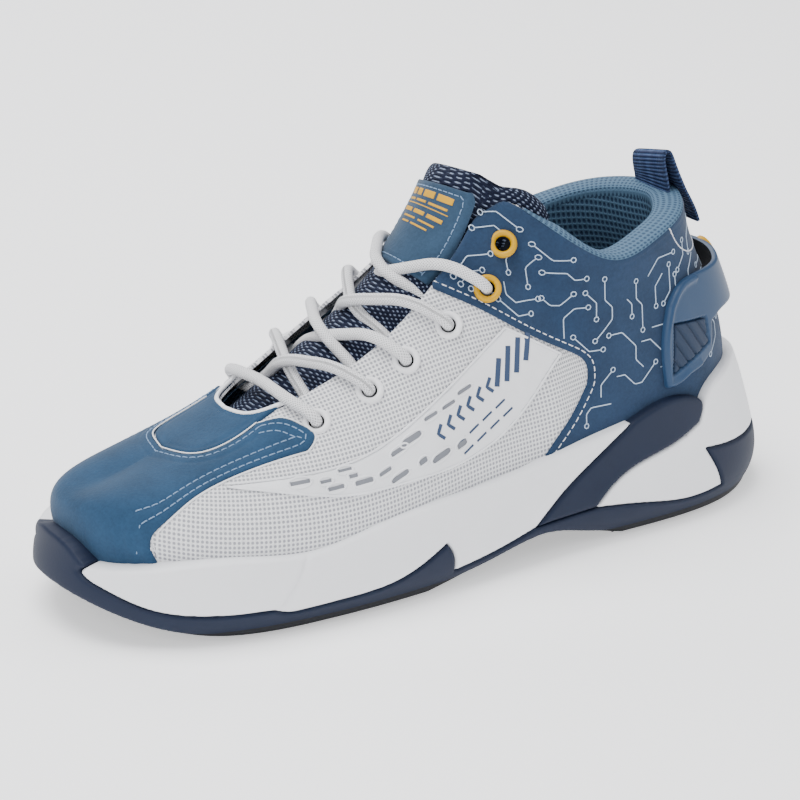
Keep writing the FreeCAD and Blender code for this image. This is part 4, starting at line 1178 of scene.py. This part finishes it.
def clip_depth(distance, where):
    front = (where[:, 0] < 100)
    ridge = 0.9 * np.exp(-((distance - 1.5) / 1.1) ** 2) * front
    pocket = side_distance(where, INSERT_XZ)
    return rounded(2.0, 0.9)(distance, where) + ridge - 1.5 * smoothstep(pocket / 0.35 + 0.5)


clip_places = np.linspace(11.0, 19.0, 330)
clip_heights = np.linspace(0.12, 0.82, 110)
clip = skin("heel_clip_ribbon", clip_surface, clip_places, clip_heights, clip_field,
            clip_depth, 0.0, M["clip"])
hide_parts("heel_clip")
# painted shade: the clip's back face is near-black, standing for the shade between the ribbon and
# the upper
inside = skin("heel_clip_inside", clip_surface, clip_places[::3], clip_heights[::2],
              clip_field, lambda distance, where: np.zeros(len(distance)), 0.05, M["painted_shade"],
              turned=True)


def insert_surface(place, height, extra):
    return clip_surface(place, height, 0.5 + extra)


def insert_field(points, a, b):
    return side_distance(points, INSERT_XZ) - 0.55


def insert_depth(distance, where):
    value = rounded(1.45, 0.5)(distance, where)
    phase = (where[:, 0] * 0.8 + where[:, 2] * 0.6) / 4.3
    groove = np.abs(phase - np.round(phase))
    return value - 0.85 * np.exp(-(groove / 0.1) ** 2)


for side, first, last in (("lateral", 11.2, 13.8), ("medial", 16.2, 18.8)):
    obj = skin("clip_insert_" + side, insert_surface, np.linspace(first, last, 150),
               np.linspace(0.15, 0.75, 130), insert_field, insert_depth, -0.4, M["insert"])
    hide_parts("heel_clip_insert_" + side)

batch = Batch()
n = upper_normal(*BADGE)
centre = clip_surface(*BADGE, 2.0)
batch.turned(centre, n, np.array([0.0, 1.0, 0.0]),
             [(5.5, -1.4), (5.5, 0.8), (5.2, 1.1), (4.5, 1.15), (4.3, 0.8), (3.4, 0.8),
              (3.2, 1.1), (1.6, 1.15), (0.05, 1.15)], 48)
badge = batch.build("heel_badge_disc", M["ring_yellow"])
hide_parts("heel_badge")

# ---------------------------------------------------------------- pull tab
TAB_LEAN = 15                    # degrees, the twist of the loop as in the picture
FOLD = [(104.8, 113), (104.4, 117.5), (103.6, 122), (102.9, 126.5), (102.8, 129.2),
        (103.6, 131), (105, 131.2), (106.3, 129.6), (107.9, 125.4), (109.9, 121.2),
        (112.2, 117.3), (114.6, 113.2), (116.8, 109), (118.6, 104.5)]
fold = smooth_run(FOLD, 0.7)
middle = np.stack([fold[:, 0], np.zeros(len(fold)), fold[:, 1]], 1)
section = oval(10.5, 0.75, 28, 0.25)
ups = np.cross(unit(np.gradient(middle, axis=0)), [0.0, 1.0, 0.0])
batch = Batch()
rings = (middle[:, None] + np.array([0, 1.0, 0])[None, None] * section[None, :, :1] +
         ups[:, None] * section[None, :, 1:])
lean = math.radians(TAB_LEAN) * smoothstep((rings[..., 2] - 117) / 10.0)
y = rings[..., 1].copy()
rings[..., 2] += -y * np.sin(lean) * 0.8
rings[..., 1] = y * np.cos(lean) + (rings[..., 2] - 121) * 0.10 * (rings[..., 2] > 121)
along = path_length(middle)
uv = np.stack(grid_of(along, np.arange(28) * 1.5), -1).reshape(-1, 2)
batch.add(rings, grid_faces(len(fold), 28, True) + end_faces(len(fold), 28), uv)
tab = batch.build("pull_tab_webbing", M["webbing"], ride=None)
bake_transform(tab)
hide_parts("pull_tab_loop", "pull_tab_legs")

# ---------------------------------------------------------------- sole
WALL_SHAPES = {
    "midsole_forefoot": ("white", outline(
        FOREFOOT_LOW_FRONT, FOREFOOT_NOTCH, FOREFOOT_LOW_BACK, SPIKE, FOREFOOT_ARCH,
        WING_FRONT, FOREFOOT_TOP, TOE_EDGE)),
    "midsole_stripe": ("stripe", outline(WING_FRONT, STRIPE_TOP, STRIPE_LOW,
                                         [(48, 16), (20, 15)])),
    "midsole_heel": ("white", outline(
        HEEL_LOW, HEEL_STEP, HEEL_WRAP, [(152, 22), (152, 52)], [(152, 52), (132, 52)],
        HEEL_TOP, STRIPE_LOW)),
    "outsole": ("navy", outline(
        GROUND_LINE, [(-70, 2), (-28, 2)], ARCH_LINE, [(62, 2), (112, 2)], HEEL_BEVEL,
        [(152, 11), (152, 22)], back(HEEL_WRAP), back(HEEL_STEP), back(HEEL_LOW),
        [(48, 16), (20, 15)], back(FOREFOOT_ARCH), back(SPIKE), back(FOREFOOT_LOW_BACK),
        back(FOREFOOT_NOTCH), back(FOREFOOT_LOW_FRONT), back(TOE_EDGE),
        [(-146, 27), (-147.2, 29.5), (-148.6, 33), (-150.5, 35.5)],
        [(-150.5, 35.5), (-153, 35.8)], [(-153, 35.8), (-152, 17)]))}
BUMPER_WRAP = 14                 # the toe bumper runs this much further back on the inner side
CREASE = smooth_run([(-78, 30), (-82, 22), (-90, 12)], 1.0)
along_axis = np.linspace(0, WALL_LENGTH, 900)
height_axis = np.arange(1.0, 58.0, 0.6)

upper_tree = tree_of(upper(*grid_of(np.linspace(0, LOOP, 700), np.linspace(-0.12, 0.5, 50)),
                           0.0).reshape(-1, 3))


def ledge(along, height):
    """How far in the wall's rim goes to reach the upper."""
    depths = np.arange(0.5, 16, 0.5)
    out = []
    for a, z in zip(along, height):
        gaps = [upper_tree.find(p)[2] for p in wall(np.full(len(depths), a),
                                                     np.full(len(depths), z), -depths)]
        best = int(np.argmin(gaps))
        close = [k for k, gap in enumerate(gaps) if gap < 0.6]
        out.append(-(depths[close[0]] + 0.4) if close else
                   (-(depths[best] + 0.3) if gaps[best] < 2.5 else -5.0))
    return np.array(out)


def polyline_distance(px, py, line):
    """Distance to the nearest point of an open run."""
    best = np.full(px.shape, 1e9)
    for (ax, ay), (bx, by) in zip(line, line[1:]):
        dx, dy = bx - ax, by - ay
        t = np.clip(((px - ax) * dx + (py - ay) * dy) / (dx * dx + dy * dy), 0, 1)
        best = np.minimum(best, np.hypot(px - ax - t * dx, py - ay - t * dy))
    return best


for name, (slot, polygon) in WALL_SHAPES.items():
    def wall_field(points, a, b, polygon=polygon):
        x, y = points[..., 0], points[..., 1]
        wrap = smoothstep((x + 151) / 24) * smoothstep((-92 - x) / 34) * smoothstep(y / 8)
        return signed_distance(x - BUMPER_WRAP * wrap, points[..., 2], polygon) - 0.12

    def wall_depth(distance, where, name=name):
        value = rounded(0.55, 1.5 if name.startswith("mid") else 1.0)(distance, where)
        if name == "midsole_forefoot":
            gap = polyline_distance(where[:, 0], where[:, 2], CREASE)
            value = value - 0.9 * np.exp(-(gap / 0.9) ** 2)
            value = value + 0.5 * np.exp(-((distance - 2.4) / 1.3) ** 2) * (where[:, 0] > 20)
        return value

    obj = skin(name + "_skin", wall, along_axis, height_axis, wall_field, wall_depth, ledge,
               M[slot], weld=True)
    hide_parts(name)

GROUND = np.vstack([smooth_run(GROUND_LINE), smooth_run([(-70, 2), (-28, 2)]),
                    smooth_run(ARCH_LINE), smooth_run([(62, 2), (112, 2)]),
                    smooth_run(HEEL_BEVEL)])
SOLE_PLAN = wall(np.linspace(0, WALL_LENGTH, 300)[:-1], 6.0, -0.6)[:, :2]


def underside(x, y, lift):
    """The face that closes the outsole from below, just over the ground line."""
    return np.stack([x, y, np.interp(x, GROUND[:, 0], GROUND[:, 1]) + 0.3 + lift], -1)


obj = skin("outsole_underside", underside, np.linspace(-151, 148, 200),
           np.linspace(-58, 54, 75),
           lambda points, a, b: signed_distance(a, b, SOLE_PLAN),
           lambda distance, where: np.zeros(len(distance)), 3.0, M["black"], turned=True)

for name, slot in (("tread_forefoot", "black"), ("tread_heel", "black"),
                   ("insole", "insole"), ("lace_aglets", "ring_white")):
    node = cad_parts[name]
    node.data.materials.clear()
    node.data.materials.append(M[slot])

# ---------------------------------------------------------------- stitching and print
side_stations = {"lateral": np.linspace(1.5, 15, 300), "medial": np.linspace(15, 28.5, 300)}
fine_heights = np.linspace(0, 1, 90)
finders = {side: Finder(upper, axis, fine_heights, (0, 2))
           for side, axis in side_stations.items()}
plan_finder = Finder(upper, np.linspace(-6.5, 6.5, 320), fine_heights, (0, 1))


def offset_line(line, distance):
    """A run moved to its left."""
    ahead = unit(np.gradient(np.asarray(line, float), axis=0))
    return line + np.stack([-ahead[:, 1], ahead[:, 0]], 1) * distance


def sew(batch, finder, line, depth, **sizes):
    """Stitches along a line that is drawn in side view or plan."""
    line = resample(line, 1.5)
    place = finder(line)
    points = upper(place[:, 0], place[:, 1], depth)
    stitches(batch, points, upper_normal(place[:, 0], place[:, 1]), **sizes)


def strip(batch, finder, line, width, depth, thick=0.16):
    """Thin bar along such a line."""
    line = resample(line, 0.9)
    place = finder(line)
    points = upper(place[:, 0], place[:, 1], depth)
    batch.tube(points, upper_normal(place[:, 0], place[:, 1]),
               oval(width / 2, thick, 8, 0.5))


def circle(centre, radius, count):
    t = np.linspace(0, 2 * math.pi, count + 1)
    return np.stack([centre[0] + radius * np.cos(t), centre[1] + radius * np.sin(t)], 1)


def smooth_line(line, times):
    line = np.array(line, float)
    for _ in range(times):
        line[1:-1] = 0.25 * line[:-2] + 0.5 * line[1:-1] + 0.25 * line[2:]
    return line


threads, piping = Batch(), Batch()
cap_edge = np.vstack([smooth_run(TOE_CAP_SIDE)[:-1], smooth_run(TOE_CAP_TIP)[:-1],
                      smooth_run(TOE_CAP_THROAT)])
for sign in (1, -1):
    for distance in (2.0, 5.0):
        line = smooth_line(offset_line(resample(cap_edge, 1.5), distance), 10)
        sew(threads, plan_finder, line * [1, sign], 1.25)
    sew(threads, plan_finder, offset_line(smooth_run(VAMP_PANEL), 2.2) * [1, sign], 1.25)
    strip(piping, plan_finder, offset_line(resample(cap_edge, 1.0), -0.4) * [1, sign], 0.7, 0.3,
          0.35)
    strip(piping, plan_finder, offset_line(smooth_run(VAMP_PANEL), -0.1) * [1, sign], 0.5, 1.3,
          0.25)
    edge = smooth_run([(-66, -17.9), (-77, -11.3), (-80.1, 0)])
    strip(piping, plan_finder, offset_line(edge, -0.3) * [1, sign], 1.6, 0.9, 0.7)
obj = threads.build("stitching_toe", M["thread"])
obj = piping.build("edge_piping", M["film"])

FULL_TURN = np.linspace(0, 2 * math.pi, 19)
FILM_SLOTS = [(-75, 51.2, 7, 1.6), (-66, 50.6, 4, 1.2), (-63, 48.2, 6, 1.5),
              (-55.5, 50.8, 3.2, 1.4), (-52, 48.4, 7, 1.9), (-43, 50, 5, 1.3),
              (-37.5, 47.4, 7.5, 1.8), (-27, 50.4, 3.4, 2.0), (-19, 50.6, 8, 2.2),
              (-9.5, 52.6, 4.2, 2.2), (-30, 58.4, 8.5, 2.2), (-36, 55.6, 6.5, 1.6),
              (-20.5, 64.2, 5.5, 1.2), (-12.5, 66.6, 5.5, 1.2), (-5, 70.4, 6, 1.3),
              (-58, 53.0, 5, 1.0)]


def circuit_lines(area):
    """Seeded motifs like circuit tracks: bent lines with a small ring at each end."""
    lines, rings, taken = [], [], []
    turns = [np.array(v, float) for v in ((0, 1), (1, 1), (1, 0), (1, -1), (0, -1), (-1, -1),
                                          (-1, 0), (-1, 1))]
    for _ in range(2600):
        here = np.array([RNG.uniform(-2, 118), RNG.uniform(42, 124)])
        heading = int(RNG.integers(8))
        path = [here]
        for _ in range(int(RNG.integers(2, 5))):
            step = unit(turns[heading]) * RNG.uniform(3.0, 9.5)
            path.append(path[-1] + step)
            heading = (heading + int(RNG.choice([-1, 1]))) % 8
        points = resample(np.array(path), 1.0)
        inside = signed_distance(points[:, 0], points[:, 1], area)
        if inside.min() < 3.4:
            continue
        if taken and min(np.linalg.norm(np.vstack(taken)[None] - points[:, None], axis=-1)
                         .min(1)) < 2.7:
            continue
        taken.append(points)
        start = path[0] + unit(path[0] - path[1]) * 1.0
        end = path[-1] + unit(path[-1] - path[-2]) * 1.0
        lines.append(np.array(path))
        rings += [start, end] if RNG.random() < 0.7 else [end]
    return lines, rings


PANEL_LINE = np.vstack([smooth_run(PANEL_EDGE), smooth_run(PANEL_CORNER)[1:],
                        smooth_run(PANEL_BACK)[1:]])
for side, finder in finders.items():
    batch = Batch()
    edge = upper(np.linspace(8.0, 15, 60) if side == "lateral" else np.linspace(15, 22, 60),
                 0.97, 0.0)[:, [0, 2]]
    edge = edge[np.argsort(edge[:, 0])]
    area = np.vstack([PANEL_LINE, [(20, 40), (50, 44), (66, 48), (84, 53), (100, 56), (117, 57),
                                   (124, 70), (121, 90)], edge[::-1], [(0, 112)]])
    lines, ends = circuit_lines(area)
    for line in lines:
        strip(batch, finder, line, 0.42, 1.36)
    for end in ends:
        strip(batch, finder, circle(end, 0.95, 14), 0.4, 1.36)
    obj = batch.build("panel_print_" + side, M["print"])
    batch = Batch()
    sew(batch, finder, offset_line(resample(PANEL_LINE, 1.5), 2.4), 1.1)
    curve = smooth_run([(88, 113), (94, 104), (104, 99), (118, 100)])
    sew(batch, finder, curve, 1.35, pitch=2.2, length=2.1)
    obj = batch.build("panel_stitching_" + side, M["thread_white"])
    dark, light, white = Batch(), Batch(), Batch()
    for x, z, length, width in FILM_SLOTS:
        at = np.linspace(-length / 2, length / 2, 7)
        rise = 0.06 if x < -45 else 0.3
        strip(dark, finder, np.stack([x + at, z + at * rise], 1), width, 0.78, 0.1)
        ring = np.stack([x + (length / 2 + 0.9) * np.cos(FULL_TURN),
                         z + (width / 2 + 0.7) * np.sin(FULL_TURN) +
                         (length / 2 + 0.9) * np.cos(FULL_TURN) * rise], 1)
        strip(white, finder, ring, 0.7, 0.8, 0.3)
    for k in range(6):
        x, z = -19 + 4.7 * k, 57.5 + 2.3 * k
        strip(light, finder, np.array([(x + 1.9, z + 3.4), (x, z + 0.4), (x + 2.6, z - 1.6)]),
              1.35, 0.8, 0.12)
    for k, tall in enumerate((9.5, 12, 12, 9.5)):
        x, z = 10 + 4.6 * k, 73.5 + 2.2 * k
        strip(light, finder, np.array([(x - 1.2, z - tall / 2), (x + 1.2, z + tall / 2)]),
              2.3, 0.8, 0.14)
    for k in range(2):
        for m in range(4):
            x, z = -12 + 6.4 * m + 3 * k, 52.5 + 3.0 * m - 3.6 * k
            strip(light, finder, np.array([(x, z), (x + 4.4, z + 2.2)]), 0.8, 0.8, 0.1)
    for line in ([(16, 88), (28, 81), (38, 75)], [(-99, 52.3), (-74, 53.2), (-50, 55.8),
                                               (-20, 67.3), (16.3, 88.2)],
                 [(38.3, 75), (31, 68), (14, 54.2), (-13, 45.8), (-38, 44.8), (-60, 45.3),
                  (-80, 48.8), (-99, 51.8)]):
        strip(white, finder, smooth_run(line), 0.8, 0.7, 0.3)
    obj = white.build("film_ridges_" + side, M["film"])
    for number, details, color in ((1, dark, "slot"), (2, light, "mark")):
        obj = details.build("film_detail_%d_%s" % (number, side), M[color])

# ---------------------------------------------------------------- stage, light and camera
mesh = bpy.data.meshes.new("floor")
mesh.from_pydata([(-6, -6, 0), (6, -6, 0), (6, 6, 0), (-6, 6, 0)], [], [(0, 1, 2, 3)])
floor = bpy.data.objects.new("floor", mesh)
floor.location.z = -0.0002
bpy.context.scene.collection.objects.link(floor)
pale = Shader("pale_floor", 0.9, 0.1)
pale.surface.inputs["Emission Color"].default_value = (1, 1, 1, 1)
pale.surface.inputs["Emission Strength"].default_value = 0.6
mesh.materials.append(pale.done((0.9, 0.9, 0.91)))


def area_light(name, place, size, power):
    data = bpy.data.lights.new(name, "AREA")
    data.shape, data.size, data.size_y = "RECTANGLE", size[0], size[1]
    data.energy = power
    obj = bpy.data.objects.new(name, data)
    obj.location = place
    aim = Vector((0, 0, 0.06)) - Vector(place)
    obj.rotation_euler = aim.to_track_quat("-Z", "Y").to_euler()
    bpy.context.scene.collection.objects.link(obj)


area_light("light_top", (-0.25, 0.1, 1.3), (1.1, 0.9), 23)
area_light("light_left", (-1.1, -0.8, 0.7), (0.9, 0.9), 11)
area_light("light_right", (1.1, -0.7, 0.6), (0.8, 0.8), 6)
area_light("light_back", (0.3, 1.1, 0.8), (1.0, 0.7), 8)
world = bpy.data.worlds.new("studio")
world.use_nodes = True
world.node_tree.nodes["Background"].inputs[0].default_value = (0.93, 0.95, 1.0, 1)
world.node_tree.nodes["Background"].inputs[1].default_value = 0.55
bpy.context.scene.world = world

azimuth, elevation, distance = math.radians(-32), math.radians(20), 1.25     # m
behind = Vector((math.sin(azimuth) * math.cos(elevation),
                 -math.cos(azimuth) * math.cos(elevation), math.sin(elevation)))
data = bpy.data.cameras.new("camera")
data.sensor_width, data.lens = 36.0, 154.125      # mm, from the photo's perspective
data.shift_x, data.shift_y = -0.02125, -0.055
camera = bpy.data.objects.new("camera", data)
camera.location = Vector((0, 0, 0.07)) + behind * distance
camera.rotation_euler = behind.to_track_quat("Z", "Y").to_euler()
bpy.context.scene.collection.objects.link(camera)
bpy.context.scene.camera = camera
